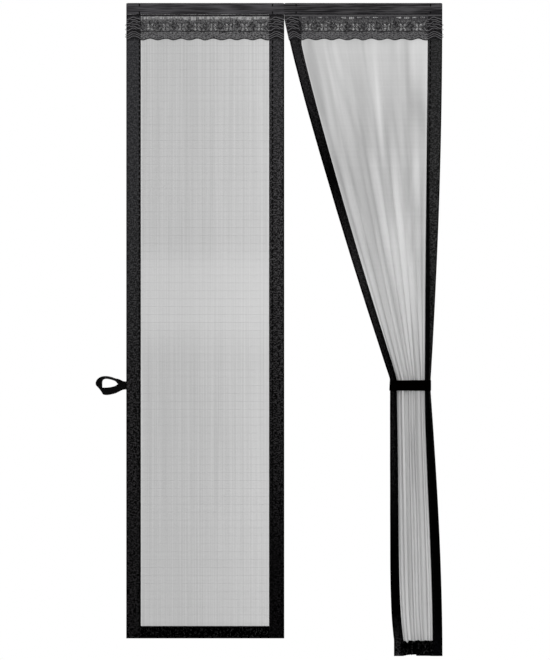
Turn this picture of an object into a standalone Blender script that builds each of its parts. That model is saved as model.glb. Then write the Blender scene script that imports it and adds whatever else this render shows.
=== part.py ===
"""A magnetic insect screen for a doorway: two net leaves bound in black folded tape.

The screen hangs from its two header tapes. +Z is up and the front faces -Y. The origin is
at the top edge of the headers, on their back faces, midway between the two leaves.
The left leaf hangs straight. The right leaf is drawn aside and held by its ribbon loop.
"Drop" is a distance measured down from the top edge.
"""
import math

import bmesh
import bpy
import numpy as np
from mathutils import Matrix, Vector

# The two leaves
LEAF_WIDTH = 0.500
LEAF_GAP = 0.0003
LEFT_DROP = 2.011
RIGHT_DROP = 2.067

# The binding tape, a woven band folded over the edge of the net
HEADER_HEIGHT = 0.036
OUTER_TAPE_WIDTH = 0.046
INNER_TAPE_WIDTH = 0.048
LEFT_HEM_HEIGHT = 0.039
RIGHT_HEM_HEIGHT = 0.050
TAPE_WALL = 0.0009
HEADER_RIBS = 7
RIB_HEIGHT = 0.00025
HEM_RIPPLE = 0.0022

# The net
NET_WALL = 0.0006
NET_PLAY = 0.0005
NET_TUCK = 0.014
NET_EXIT = 0.002
SEAM = 0.0003
WARP_PITCH = 0.0203
WEFT_PITCH = 0.060
THREAD_WIDTH = 0.0012
THREAD_HEIGHT = 0.0003

# The bar magnets in the pocket along each inner tape
MAGNET_LENGTH = 0.050
MAGNET_WIDTH = 0.012
MAGNET_THICKNESS = 0.0020
MAGNET_PITCH = 0.160
FIRST_MAGNET_DROP = 0.1705
LAST_MAGNET_MARGIN = 0.020
POCKET_PLAY = 0.0010
POCKET_TAPER = 0.003

# The ribbon loops that hold a leaf aside, midway between two magnets
LOOP_AFTER_MAGNET = 7
RIBBON_WIDTH = 0.033
RIBBON_ROOT_WIDTH = 0.026
RIBBON_THICKNESS = 0.0005
ROOT_TAB = 0.020
ROOT_NECK = 0.006
LOOP_REACH = 0.097
LOOP_SPREAD = 0.034
LOOP_LOW_TILT = math.radians(45)
LOOP_HIGH_TILT = math.radians(75)
LOOP_TWIST_RUN = 0.035
LOOP_STEPS = 30
TAUT_DIRECTIONS = 30

# The lace that hangs over the top of each leaf
LACE_OVERLAP = 0.0025
LACE_HEIGHT = 0.0835
LACE_THICKNESS = 0.0006
SCALLOP_COUNT = 10
SCALLOP_DEPTH = 0.008
SCALLOP_STEPS = 4
LADDER_DROP = 0.015
LADDER_HEIGHT = 0.009
LADDER_BAR = 0.010
FLOWER_PLACE = 0.42
PETAL_LENGTH = 0.0115
PETAL_WIDTH = 0.0075
PETAL_GAP = 0.0022

# How the right leaf is drawn aside
GATHERED_WIDTH = 0.1265
OUTER_PULL = 0.038
FOOT_DRAW = 0.0125
SWEEP_BOW = 1.13
PULL_BOW = 2.0
RETURN_BOW = 1.6
FOOT_BOW = 8
INNER_TURN_TOP = math.radians(45)
INNER_TURN_GRIP = math.radians(65)
INNER_TURN_FOOT = math.radians(54)
OUTER_TURN_GRIP = math.radians(67)
OUTER_TURN_FOOT = math.radians(48)
OUTER_TURN_BOW = 1.25
OUTER_UNTURN_BOW = 4
SETTLE_RUN = 0.6
TURN_STEPS = 4
HALVED_SPAN = 0.120
HALVED_ABOVE = 0.600
GRIP_MARGIN = 0.003
HALF_FOLDS = 9
STEPS_PER_HALF_FOLD = 5
FOLD_UNEVEN = 0.35
MOST_SWING = 2.3
FINE_STEPS = 24

# Worked out from the sizes above
LEFT_END = -LEAF_GAP / 2 - LEAF_WIDTH
RIGHT_END = LEAF_GAP / 2 + LEAF_WIDTH
SLOT = max(NET_WALL + 2 * NET_PLAY, 2 * RIBBON_THICKNESS + 2 * SEAM)
TAPE_THICKNESS = SLOT + 2 * TAPE_WALL
TAPE_MIDDLE_Y = -TAPE_THICKNESS / 2
POCKET = MAGNET_THICKNESS + 2 * SEAM
POCKET_END = TAPE_WALL + MAGNET_WIDTH + 2 * POCKET_PLAY
NET_SPAN = LEAF_WIDTH - OUTER_TAPE_WIDTH - INNER_TAPE_WIDTH
TAPE_TOP_DROP = HEADER_HEIGHT + SEAM
RIGHT_HEM_DROP = RIGHT_DROP - RIGHT_HEM_HEIGHT
MAGNET_RUN = min(LEFT_DROP, RIGHT_HEM_DROP) - FIRST_MAGNET_DROP - MAGNET_LENGTH / 2
MAGNET_COUNT = 1 + math.floor((MAGNET_RUN - LAST_MAGNET_MARGIN) / MAGNET_PITCH)
LOOP_DROP = FIRST_MAGNET_DROP + (LOOP_AFTER_MAGNET - 0.5) * MAGNET_PITCH
TURN_RUN = FIRST_MAGNET_DROP - 0.6 * MAGNET_LENGTH - TAPE_TOP_DROP
GRIP_TOP = LOOP_DROP - RIBBON_WIDTH / 2 - GRIP_MARGIN
GRIP_BOTTOM = LOOP_DROP + RIBBON_WIDTH / 2 + GRIP_MARGIN
GRIP_INNER_X = RIGHT_END - OUTER_PULL - GATHERED_WIDTH
LACE_TOP_DROP = HEADER_HEIGHT - LACE_OVERLAP
LACE_FRONT_Y = TAPE_MIDDLE_Y - POCKET / 2 - TAPE_WALL - SEAM - LACE_THICKNESS
LACE_SHARE = (LACE_TOP_DROP + LACE_HEIGHT - TAPE_TOP_DROP) / (GRIP_TOP - TAPE_TOP_DROP)


def clear_scene():
    for thing in list(bpy.data.objects):
        bpy.data.objects.remove(thing, do_unlink=True)


def plain_material(name, colour, roughness, metallic=0.0):
    material = bpy.data.materials.new(name)
    material.use_nodes = True
    shader = material.node_tree.nodes["Principled BSDF"]
    shader.inputs["Base Color"].default_value = (*colour, 1.0)
    shader.inputs["Roughness"].default_value = roughness
    shader.inputs["Metallic"].default_value = metallic
    return material


def smooth(share):
    """Eases from 0 to 1 with level ends, and stays level beyond them."""
    share = min(max(share, 0.0), 1.0)
    return share * share * (3 - 2 * share)


def add_solid(name, points, faces, material):
    """One closed mesh with its faces turned outward."""
    mesh = bpy.data.meshes.new(name)
    mesh.from_pydata([tuple(point) for point in points], [], faces)
    made = bmesh.new()
    made.from_mesh(mesh)
    bmesh.ops.recalc_face_normals(made, faces=made.faces)
    made.to_mesh(mesh)
    made.free()
    mesh.shade_smooth()
    mesh.set_sharp_from_angle(angle=math.radians(40))
    mesh.materials.append(material)
    solid = bpy.data.objects.new(name, mesh)
    bpy.context.scene.collection.objects.link(solid)
    return solid


def split_short(points, quad):
    """Two triangles, split along the shorter diagonal, so that parallel walls split alike."""
    a, b, c, d = quad
    if math.dist(points[a], points[c]) <= math.dist(points[b], points[d]):
        return [(a, b, c), (a, c, d)]
    return [(a, b, d), (b, c, d)]


def loft(name, loops, material, closed=False):
    """Skins a row of like outlines, and caps both ends unless the row closes on itself."""
    count = len(loops[0])
    spans = len(loops) if closed else len(loops) - 1
    points = [point for loop in loops for point in loop]
    faces = []
    for row in range(spans):
        near = row * count
        far = (row + 1) % len(loops) * count
        for i in range(count):
            after = (i + 1) % count
            faces += split_short(points, (near + i, near + after, far + after, far + i))
    if not closed:
        faces.append(tuple(range(count)))
        faces.append(tuple(range(spans * count, (spans + 1) * count)))
    return add_solid(name, points, faces, material)


def helper_boxes(name, boxes):
    """Boxes that are only cut from another solid or joined to it: (place, size) pairs."""
    made = bmesh.new()
    for place, size in boxes:
        bmesh.ops.create_cube(made, size=1.0, matrix=place @ Matrix.Diagonal((*size, 1.0)))
    mesh = bpy.data.meshes.new(name)
    made.to_mesh(mesh)
    made.free()
    helper = bpy.data.objects.new(name, mesh)
    helper.hide_render = True
    helper.display_type = "WIRE"
    bpy.context.scene.collection.objects.link(helper)
    return helper


def boolean(solid, other, operation):
    change = solid.modifiers.new(f"{operation.lower()} {other.name}", "BOOLEAN")
    change.operation = operation
    change.solver = "EXACT"
    change.object = other


def offset_line(line, distance):
    """A flat line moved sideways, with mitred corners; a positive distance is to its left."""
    line = np.asarray(line, float)
    along = np.diff(line, axis=0)
    along /= np.linalg.norm(along, axis=1)[:, None]
    before = np.vstack([along[:1], along])
    after = np.vstack([along, along[-1:]])
    middle = before + after
    middle /= np.linalg.norm(middle, axis=1)[:, None]
    mitre = 1 / np.maximum((middle * after).sum(axis=1), 0.6)
    side = np.column_stack([-middle[:, 1], middle[:, 0]])
    return line + side * (distance * mitre)[:, None]


def tape_outline(width, pocket=False):
    """The folded tape's section: along it from the fold, and across it towards the back."""
    slot = SLOT / 2
    half = slot + TAPE_WALL
    if not pocket:
        front = [
            (width, half),
            (width - NET_TUCK, half),
            (0.65 * half, half),
            (0.0, 0.4 * half),
        ]
        inside = [
            (width, slot),
            (width - NET_TUCK, slot),
            (TAPE_WALL + 0.5 * slot, slot),
            (TAPE_WALL, 0.45 * slot),
        ]
    else:
        room = POCKET / 2
        deep = room + TAPE_WALL
        front = [
            (width, half),
            (width - NET_TUCK, half),
            (POCKET_END + POCKET_TAPER, half),
            (POCKET_END, deep),
            (0.6 * deep, deep),
            (0.0, 0.45 * deep),
        ]
        inside = [
            (width, slot),
            (width - NET_TUCK, slot),
            (POCKET_END + POCKET_TAPER, slot),
            (POCKET_END, room),
            (TAPE_WALL + 0.4 * room, room),
            (TAPE_WALL, 0.5 * room),
        ]
    outer = [(a, -b) for a, b in front] + front[::-1]
    inner = inside + [(a, -b) for a, b in inside[::-1]]
    return outer + inner


def shares(drop):
    """How far a drop lies along the stretch above the loop, and along the one below it."""
    above = (drop - TAPE_TOP_DROP) / (GRIP_TOP - TAPE_TOP_DROP)
    below = (drop - GRIP_BOTTOM) / (RIGHT_HEM_DROP - GRIP_BOTTOM)
    return min(max(above, 0.0), 1.0), min(max(below, 0.0), 1.0)


def inner_edge(drop):
    """The right leaf's magnet tape at this drop: its fold edge's x and y, and its turn."""
    above, below = shares(drop)
    start = LEAF_GAP / 2
    x = start + (GRIP_INNER_X - start) * above**SWEEP_BOW + FOOT_DRAW * below**FOOT_BOW
    turn = INNER_TURN_TOP * smooth((drop - TAPE_TOP_DROP) / TURN_RUN)
    turn += (INNER_TURN_GRIP - INNER_TURN_TOP) * above
    turn += (INNER_TURN_FOOT - INNER_TURN_GRIP) * below
    forward = 0.5 * smooth((above - 1.4 * LACE_SHARE) / SETTLE_RUN)
    y = TAPE_MIDDLE_Y - forward * INNER_TAPE_WIDTH * math.sin(turn)
    return x, y, turn


def outer_edge(drop):
    """The right leaf's outer tape at this drop: its fold edge's x and y, and its turn."""
    above, below = shares(drop)
    pull = above**PULL_BOW if below == 0 else (1 - below) ** RETURN_BOW
    x = RIGHT_END - OUTER_PULL * pull
    past_lace = max((above - LACE_SHARE) / (1 - LACE_SHARE), 0.0)
    turn = OUTER_TURN_GRIP * past_lace**OUTER_TURN_BOW
    turn += (OUTER_TURN_FOOT - OUTER_TURN_GRIP) * (1 - (1 - below) ** OUTER_UNTURN_BOW)
    y = TAPE_MIDDLE_Y + 0.5 * OUTER_TAPE_WIDTH * math.sin(turn)
    return x, y, turn


def on_tape(edge, a, b, inward):
    """A point of a turned tape's section: a from its fold edge, b towards its back."""
    x, y, turn = edge
    x += inward * a * math.cos(turn) - b * math.sin(turn)
    y += inward * a * math.sin(turn) + b * math.cos(turn)
    return x, y


def magnet_drops():
    return [FIRST_MAGNET_DROP + i * MAGNET_PITCH for i in range(MAGNET_COUNT)]


def right_rows():
    """Drops at which the right leaf's section is set out. None of them crosses a magnet."""
    rows = [TAPE_TOP_DROP + TURN_RUN * i / TURN_STEPS for i in range(TURN_STEPS + 1)]
    between = [FIRST_MAGNET_DROP + (i - 0.5) * MAGNET_PITCH for i in range(MAGNET_COUNT)]
    margin = 0.4 * MAGNET_PITCH
    for drop in between:
        clear_of_grip = drop < GRIP_TOP - margin or drop > GRIP_BOTTOM + margin
        if clear_of_grip and rows[TURN_STEPS] < drop < RIGHT_HEM_DROP:
            rows.append(drop)
    rows += [GRIP_TOP, GRIP_BOTTOM, RIGHT_HEM_DROP]
    below_magnets = magnet_drops()[-1] + 0.6 * MAGNET_LENGTH
    if rows[-4] < below_magnets < RIGHT_HEM_DROP - LAST_MAGNET_MARGIN:
        rows.append(below_magnets)
    return sorted(rows) + [RIGHT_DROP]


def right_stations():
    """Every level of the right leaf, as its drop and the set-out rows that it lies between.

    Long spans high up get a level halfway, on the straight lines between their rows.
    """
    rows = right_rows()
    stations = []
    for row, after in zip(rows, rows[1:]):
        stations.append((row, [row]))
        if after - row > HALVED_SPAN and after < HALVED_ABOVE:
            stations.append(((row + after) / 2, [row, after]))
    stations.append((rows[-1], [rows[-1]]))
    return stations


def fold_line(start, end, length, half_folds, steps):
    """A line of the given length, gathered in even round folds between two points.

    Its direction swings to and fro as a sine along its length, as slack cloth does. The
    first fold stands at the back and the last at the front.
    """
    count = half_folds * steps * FINE_STEPS
    share = (np.arange(count) + 0.5) / count
    uneven = FOLD_UNEVEN * np.sin(2 * math.pi * share) * np.sin(5 * math.pi * share)
    swing = np.sin(math.pi * (1 + half_folds * share) + uneven)

    def run(widest):
        heading = widest * swing
        strides = np.column_stack([np.cos(heading), np.sin(heading)]) * length / count
        return np.vstack([[0, 0], np.cumsum(strides, axis=0)])

    chord = np.subtract(end, start)
    least, most = 0.0, MOST_SWING
    for _ in range(40):
        middle = (least + most) / 2
        if np.linalg.norm(run(middle)[-1]) > np.linalg.norm(chord):
            least = middle
        else:
            most = middle
    line = run(least)
    reach = line[-1]
    turn = math.atan2(chord[1], chord[0]) - math.atan2(reach[1], reach[0])
    spin = np.array([[math.cos(turn), math.sin(turn)], [-math.sin(turn), math.cos(turn)]])
    line = line @ spin * np.linalg.norm(chord) / np.linalg.norm(reach)
    return (line + start)[::FINE_STEPS]


def right_net_row(keys):
    """One level line of the right net, from inside the inner tape to inside the outer."""
    tuck_in, leaves, enters, tuck_out = keys
    length = NET_SPAN - 2 * NET_EXIT
    folds = fold_line(leaves, enters, length, HALF_FOLDS, STEPS_PER_HALF_FOLD)
    return np.vstack([[tuck_in], folds, [tuck_out]])


def net_keys(drop):
    """Where the net's level line starts, leaves the inner tape, enters the outer, and ends."""
    inner = inner_edge(drop)
    outer = outer_edge(drop)
    return np.array(
        [
            on_tape(inner, INNER_TAPE_WIDTH - NET_TUCK, 0, 1),
            on_tape(inner, INNER_TAPE_WIDTH + NET_EXIT, 0, 1),
            on_tape(outer, OUTER_TAPE_WIDTH + NET_EXIT, 0, -1),
            on_tape(outer, OUTER_TAPE_WIDTH - NET_TUCK, 0, -1),
        ]
    )


def straight_tape(name, fold_x, inward, outline, material):
    """A left leaf's tape: the folded section, hung straight."""
    level = [(fold_x + inward * a, TAPE_MIDDLE_Y + b) for a, b in outline]
    return loft(name, [[(x, y, -drop) for x, y in level] for drop in (TAPE_TOP_DROP, LEFT_DROP)], material)


def drawn_tape(name, edge_of, inward, outline, material):
    """A right leaf's tape: the folded section, swept along its bent and turning route."""
    loops = []
    for drop, rows in right_stations():
        edges = [edge_of(min(row, RIGHT_HEM_DROP)) for row in rows]
        loop = []
        for a, b in outline:
            x, y = np.mean([on_tape(edge, a, b, inward) for edge in edges], axis=0)
            loop.append((x, y, -drop))
        loops.append(loop)
    return loft(name, loops, material)


def header_tape(name, x0, x1, material):
    """The top tape: folded over the net's top edge, with ribs along its front wall."""
    slot = SLOT / 2
    half = TAPE_THICKNESS / 2
    rib = (HEADER_HEIGHT - 4 * RIB_HEIGHT) / HEADER_RIBS
    front = []
    for i in range(HEADER_RIBS):
        top = -2 * RIB_HEIGHT - i * rib
        front += [(-half, top - 0.15 * rib), (-half, top - 0.7 * rib)]
        front.append((-half + RIB_HEIGHT, top - 0.85 * rib))
    front[-1] = (-half, -HEADER_HEIGHT)
    inside = [
        (-slot, -HEADER_HEIGHT),
        (-slot, -TAPE_WALL - 0.3 * slot),
        (slot, -TAPE_WALL - 0.3 * slot),
        (slot, -HEADER_HEIGHT),
    ]
    back = [(half, -HEADER_HEIGHT), (half, -RIB_HEIGHT), (half - RIB_HEIGHT, 0.0)]
    section = [(-half + 2 * RIB_HEIGHT, 0.0)] + front + inside + back
    loops = [[(x, TAPE_MIDDLE_Y + y, z) for y, z in section] for x in (x0, x1)]
    return loft(name, loops, material)


def sheet_solid(name, lines, drops, thickness, material):
    """A sheet with a thin wall, given as level lines of points at their drops."""
    rows, columns = len(lines), len(lines[0])
    points = []
    for side in (-1, 1):
        for line, drop in zip(lines, drops):
            wall = offset_line(line, side * thickness / 2)
            points += [(x, y, -drop) for x, y in wall]
    back = rows * columns
    faces = []
    for row in range(rows - 1):
        for i in range(columns - 1):
            here = row * columns + i
            front = (here, here + 1, here + columns + 1, here + columns)
            faces += split_short(points, front)
            faces += split_short(points, [corner + back for corner in front[::-1]])
    for row in range(rows - 1):
        for here in (row * columns, row * columns + columns - 1):
            faces.append((here, here + columns, here + columns + back, here + back))
    for i in range(columns - 1):
        for here in (i, (rows - 1) * columns + i):
            faces.append((here, here + back, here + back + 1, here + 1))
    return add_solid(name, points, faces, material)


def left_net(material):
    """The flat net: a thin wall with raised warp threads in front and weft threads behind."""
    x0 = LEFT_END + OUTER_TAPE_WIDTH - NET_TUCK
    x1 = -LEAF_GAP / 2 - INNER_TAPE_WIDTH + NET_TUCK
    top = HEADER_HEIGHT - NET_TUCK
    bottom = LEFT_DROP - LEFT_HEM_HEIGHT + NET_TUCK
    lines = [np.array([(x0, TAPE_MIDDLE_Y), (x1, TAPE_MIDDLE_Y)])] * 2
    net = sheet_solid("left_net_panel", lines, (top, bottom), NET_WALL, material)

    open_x0 = LEFT_END + OUTER_TAPE_WIDTH
    open_x1 = -LEAF_GAP / 2 - INNER_TAPE_WIDTH
    open_top = HEADER_HEIGHT
    open_bottom = LEFT_DROP - LEFT_HEM_HEIGHT
    width, height = open_x1 - open_x0, open_bottom - open_top
    edge = 4 * THREAD_WIDTH
    depth = THREAD_HEIGHT + NET_WALL / 2
    middle = (open_x0 + width / 2, -open_top - height / 2)
    warp_count = round((width - 2 * edge) / WARP_PITCH)
    weft_count = round((height - 2 * edge) / WEFT_PITCH)
    warp, weft = [], []
    for i in range(warp_count):
        x = open_x0 + edge + (i + 0.5) * (width - 2 * edge) / warp_count
        place = Matrix.Translation((x, TAPE_MIDDLE_Y - depth / 2, middle[1]))
        warp.append((place, (THREAD_WIDTH, depth, height - 2 * edge)))
    for i in range(weft_count):
        z = -open_top - edge - (i + 0.5) * (height - 2 * edge) / weft_count
        place = Matrix.Translation((middle[0], TAPE_MIDDLE_Y + depth / 2, z))
        weft.append((place, (width - 2 * edge, depth, THREAD_WIDTH)))
    boolean(net, helper_boxes("warp_threads", warp), "UNION")
    boolean(net, helper_boxes("weft_threads", weft), "UNION")
    return net


def right_net(material):
    """The gathered net: its level lines are all of one length, folded ever closer."""
    drops, keys = [HEADER_HEIGHT - NET_TUCK], [net_keys(TAPE_TOP_DROP)]
    for drop, rows in right_stations()[:-1]:
        drops.append(drop)
        keys.append(np.mean([net_keys(row) for row in rows], axis=0))
    drops.append(RIGHT_HEM_DROP + NET_TUCK)
    keys.append(keys[-1])
    lines = [right_net_row(key) for key in keys]
    return sheet_solid("right_net_panel", lines, drops, NET_WALL, material)


def left_hem(material):
    """The bottom tape of the left leaf, folded under the net's lower edge."""
    slot = SLOT / 2
    half = TAPE_THICKNESS / 2
    top, bottom = -LEFT_DROP + LEFT_HEM_HEIGHT, -LEFT_DROP
    section = [
        (-half, top),
        (-half, bottom + 0.6 * half),
        (-0.4 * half, bottom),
        (0.4 * half, bottom),
        (half, bottom + 0.6 * half),
        (half, top),
        (slot, top),
        (slot, bottom + TAPE_WALL),
        (-slot, bottom + TAPE_WALL),
        (-slot, top),
    ]
    ends = (LEFT_END + OUTER_TAPE_WIDTH + SEAM, -LEAF_GAP / 2 - INNER_TAPE_WIDTH - SEAM)
    loops = [[(x, TAPE_MIDDLE_Y + y, z) for y, z in section] for x in ends]
    return loft("left_hem_tape", loops, material)


def right_hem(material):
    """The bottom tape of the right leaf, gathered with the net that it is sewn to."""
    slot = SLOT / 2
    half = TAPE_THICKNESS / 2
    line = right_net_row(net_keys(RIGHT_HEM_DROP))[1:-1]
    first = line[0] + (line[1] - line[0]) * 0.4
    last = line[-1] + (line[-2] - line[-1]) * 0.4
    line = np.vstack([[first], line[1:-1], [last]])
    walls = {b: offset_line(line, b) for b in (-half, -0.4 * half, 0.4 * half, half, -slot, slot)}
    loops = []
    for i in range(len(line)):
        share = i / (len(line) - 1)
        top = -RIGHT_HEM_DROP + HEM_RIPPLE * math.sin(2 * math.pi * 3.5 * share)
        lift = HEM_RIPPLE * (0.6 + 0.4 * math.sin(2 * math.pi * 5 * share))
        bottom = -RIGHT_DROP + lift * math.sin(math.pi * share)
        section = [
            (-half, top),
            (-half, bottom + 0.6 * half),
            (-0.4 * half, bottom),
            (0.4 * half, bottom),
            (half, bottom + 0.6 * half),
            (half, top),
            (slot, top),
            (slot, bottom + TAPE_WALL),
            (-slot, bottom + TAPE_WALL),
            (-slot, top),
        ]
        loops.append([(*walls[b][i], z) for b, z in section])
    return loft("right_hem_tape", loops, material)


def closed_spline(curve, points):
    spline = curve.splines.new("POLY")
    spline.points.add(len(points) - 1)
    for point, (x, y) in zip(spline.points, points):
        point.co = (x, y, 0.0, 1.0)
    spline.use_cyclic_u = True


def lace(name, x0, material):
    """A strip of lace: a ladder of open bars, a row of four-petal flowers, a scalloped edge."""
    pitch = LEAF_WIDTH / SCALLOP_COUNT
    curve = bpy.data.curves.new(name, "CURVE")
    curve.dimensions = "2D"
    curve.fill_mode = "BOTH"
    curve.extrude = LACE_THICKNESS / 2
    edge = [(0.0, 0.0)]
    for i in range(SCALLOP_COUNT * SCALLOP_STEPS + 1):
        share = i / SCALLOP_STEPS
        rise = SCALLOP_DEPTH * abs(math.cos(math.pi * share))
        edge.append((share * pitch, rise - LACE_HEIGHT))
    edge.append((LEAF_WIDTH, 0.0))
    closed_spline(curve, edge)
    for i in range(2 * SCALLOP_COUNT):
        left = (i * pitch + LADDER_BAR) / 2
        right = left + pitch / 2 - LADDER_BAR
        top = -LADDER_DROP + LADDER_HEIGHT / 2
        low = -LADDER_DROP - LADDER_HEIGHT / 2
        closed_spline(curve, [(left, low), (right, low), (right, top), (left, top)])
    flower_y = low - FLOWER_PLACE * (low + LACE_HEIGHT - SCALLOP_DEPTH)
    for i in range(SCALLOP_COUNT):
        for quarter in range(4):
            turn = math.radians(45 + 90 * quarter)
            petal = []
            for along, across in ((0, 0), (0.6, 0.5), (1, 0), (0.6, -0.5)):
                r = PETAL_GAP + along * PETAL_LENGTH
                s = across * PETAL_WIDTH
                x = (i + 0.5) * pitch + r * math.cos(turn) - s * math.sin(turn)
                y = flower_y + r * math.sin(turn) + s * math.cos(turn)
                petal.append((x, y))
            closed_spline(curve, petal)
    strip = bpy.data.objects.new(name, curve)
    curve.materials.append(material)
    strip.location = (x0, LACE_FRONT_Y + LACE_THICKNESS / 2, -LACE_TOP_DROP)
    strip.rotation_euler = (math.radians(90), 0.0, 0.0)
    bpy.context.scene.collection.objects.link(strip)
    return strip


def ribbon_strip(name, centres, widths, material, closed):
    """A flat ribbon along a line of centres, with a width vector at each of them."""
    centres = np.array(centres)
    widths = np.array(widths)
    if closed:
        along = np.roll(centres, -1, axis=0) - np.roll(centres, 1, axis=0)
    else:
        along = np.gradient(centres, axis=0)
    out = np.cross(along, widths)
    out *= RIBBON_THICKNESS / 2 / np.linalg.norm(out, axis=1)[:, None]
    half = widths / 2
    loops = [
        [c - w - o, c + w - o, c + w + o, c - w + o] for c, w, o in zip(centres, half, out)
    ]
    return loft(name, loops, material, closed=closed)


def sew_root(ribbon, name, place, length):
    """Joins the ribbon's two ends into one tab, which is sewn into the outer tape's fold."""
    size = (length, 2.08 * RIBBON_THICKNESS, RIBBON_ROOT_WIDTH)
    boolean(ribbon, helper_boxes(name, [(place, size)]), "UNION")


def open_fold(tape, name, place):
    """Cuts the slit in a tape's fold that the ribbon's ends pass through."""
    size = (2.4 * TAPE_WALL, 0.9 * SLOT, RIBBON_ROOT_WIDTH + 2 * SEAM)
    boolean(tape, helper_boxes(name, [(place, size)]), "DIFFERENCE")


def left_loop(tape, material):
    """The free loop: it stands out from the outer tape, twists and lies half open."""
    centres, widths = [], []
    for i in range(LOOP_STEPS + 1):
        share = i / LOOP_STEPS
        reach = LOOP_REACH * (1 - math.cos(2 * math.pi * share)) / 2
        spread = -LOOP_SPREAD * math.sin(2 * math.pi * share) * math.sqrt(reach / LOOP_REACH)
        settled = smooth(reach / LOOP_TWIST_RUN)
        tilt = LOOP_LOW_TILT + (LOOP_HIGH_TILT - LOOP_LOW_TILT) * smooth((share - 0.3) / 0.4)
        tilt *= settled
        side = -1 if share < 0.5 else 1
        spread += side * 0.55 * RIBBON_THICKNESS * (1 - settled)
        width = RIBBON_ROOT_WIDTH + (RIBBON_WIDTH - RIBBON_ROOT_WIDTH) * settled
        x = LEFT_END - ROOT_NECK / 2 - reach * (1 - ROOT_NECK / 2 / LOOP_REACH)
        y = TAPE_MIDDLE_Y + spread * math.cos(tilt)
        centres.append((x, y, -LOOP_DROP + spread * math.sin(tilt)))
        widths.append((0.0, -width * math.sin(tilt), width * math.cos(tilt)))
    ribbon = ribbon_strip("left_tie_loop", centres, widths, material, closed=False)
    length = ROOT_NECK + ROOT_TAB
    fold = Vector((LEFT_END, TAPE_MIDDLE_Y, -LOOP_DROP))
    tab = fold + Vector((ROOT_TAB - length / 2, 0.0, 0.0))
    sew_root(ribbon, "left_loop_root", Matrix.Translation(tab), length)
    open_fold(tape, "left_fold_slit", Matrix.Translation(fold))
    return ribbon


def taut_round(points, distance, directions):
    """A line drawn tight round flat points, at a distance from them."""
    points = np.array(points)
    line = []
    for i in range(directions):
        turn = 2 * math.pi * (i + 0.5) / directions
        out = np.array([math.cos(turn), math.sin(turn)])
        line.append(points[np.argmax(points @ out)] + distance * out)
    return line


def right_loop(tape, material):
    """The loop in use: drawn tight round the gathered leaf."""
    inner, outer = inner_edge(LOOP_DROP), outer_edge(LOOP_DROP)
    held = [on_tape(inner, a, b, 1) for a, b in tape_outline(INNER_TAPE_WIDTH, pocket=True)]
    held += [on_tape(outer, a, b, -1) for a, b in tape_outline(OUTER_TAPE_WIDTH)]
    net = right_net_row(net_keys(LOOP_DROP))
    for side in (-1, 1):
        held += [tuple(point) for point in offset_line(net, side * NET_WALL / 2)]
    line = taut_round(held, SEAM + RIBBON_THICKNESS / 2, TAUT_DIRECTIONS)
    centres = [(x, y, -LOOP_DROP) for x, y in line]
    widths = [(0.0, 0.0, RIBBON_WIDTH)] * len(line)
    ribbon = ribbon_strip("right_tie_loop", centres, widths, material, closed=True)
    turn = Matrix.Rotation(outer[2], 4, "Z")
    x, y = on_tape(outer, ROOT_TAB / 2 - SEAM, 0, -1)
    place = Matrix.Translation((x, y, -LOOP_DROP)) @ turn
    sew_root(ribbon, "right_loop_root", place, ROOT_TAB + 2 * SEAM)
    x, y = on_tape(outer, 0, 0, -1)
    open_fold(tape, "right_fold_slit", Matrix.Translation((x, y, -LOOP_DROP)) @ turn)
    return ribbon


def bar_magnet(name, place, material):
    mesh = bpy.data.meshes.new(name)
    made = bmesh.new()
    bmesh.ops.create_cube(made, size=1.0)
    size = (MAGNET_WIDTH, MAGNET_THICKNESS, MAGNET_LENGTH)
    bmesh.ops.scale(made, vec=size, verts=made.verts)
    made.to_mesh(mesh)
    made.free()
    mesh.materials.append(material)
    bar = bpy.data.objects.new(name, mesh)
    bar.matrix_world = place
    bpy.context.scene.collection.objects.link(bar)
    return bar


def pocket_place(drop):
    """Where a magnet lies in the right leaf's pocket: in the tape's own slant and turn."""
    across = POCKET_END - POCKET_PLAY - MAGNET_WIDTH / 2

    rows = right_rows()
    after = next(row for row in rows if row > drop)
    before = rows[rows.index(after) - 1]

    def at(here, a):
        share = (here - before) / (after - before)
        near = np.array(on_tape(inner_edge(before), a, 0, 1))
        far = np.array(on_tape(inner_edge(after), a, 0, 1))
        return Vector((*(near + (far - near) * share), -here))

    centre = at(drop, across)
    up = at(drop - MAGNET_LENGTH / 2, across) - at(drop + MAGNET_LENGTH / 2, across)
    up.normalize()
    out = up.cross(at(drop, across + MAGNET_WIDTH / 2) - centre).normalized()
    width = out.cross(up)
    turn = Matrix((width, out, up)).transposed().to_4x4()
    return Matrix.Translation(centre) @ turn


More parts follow.
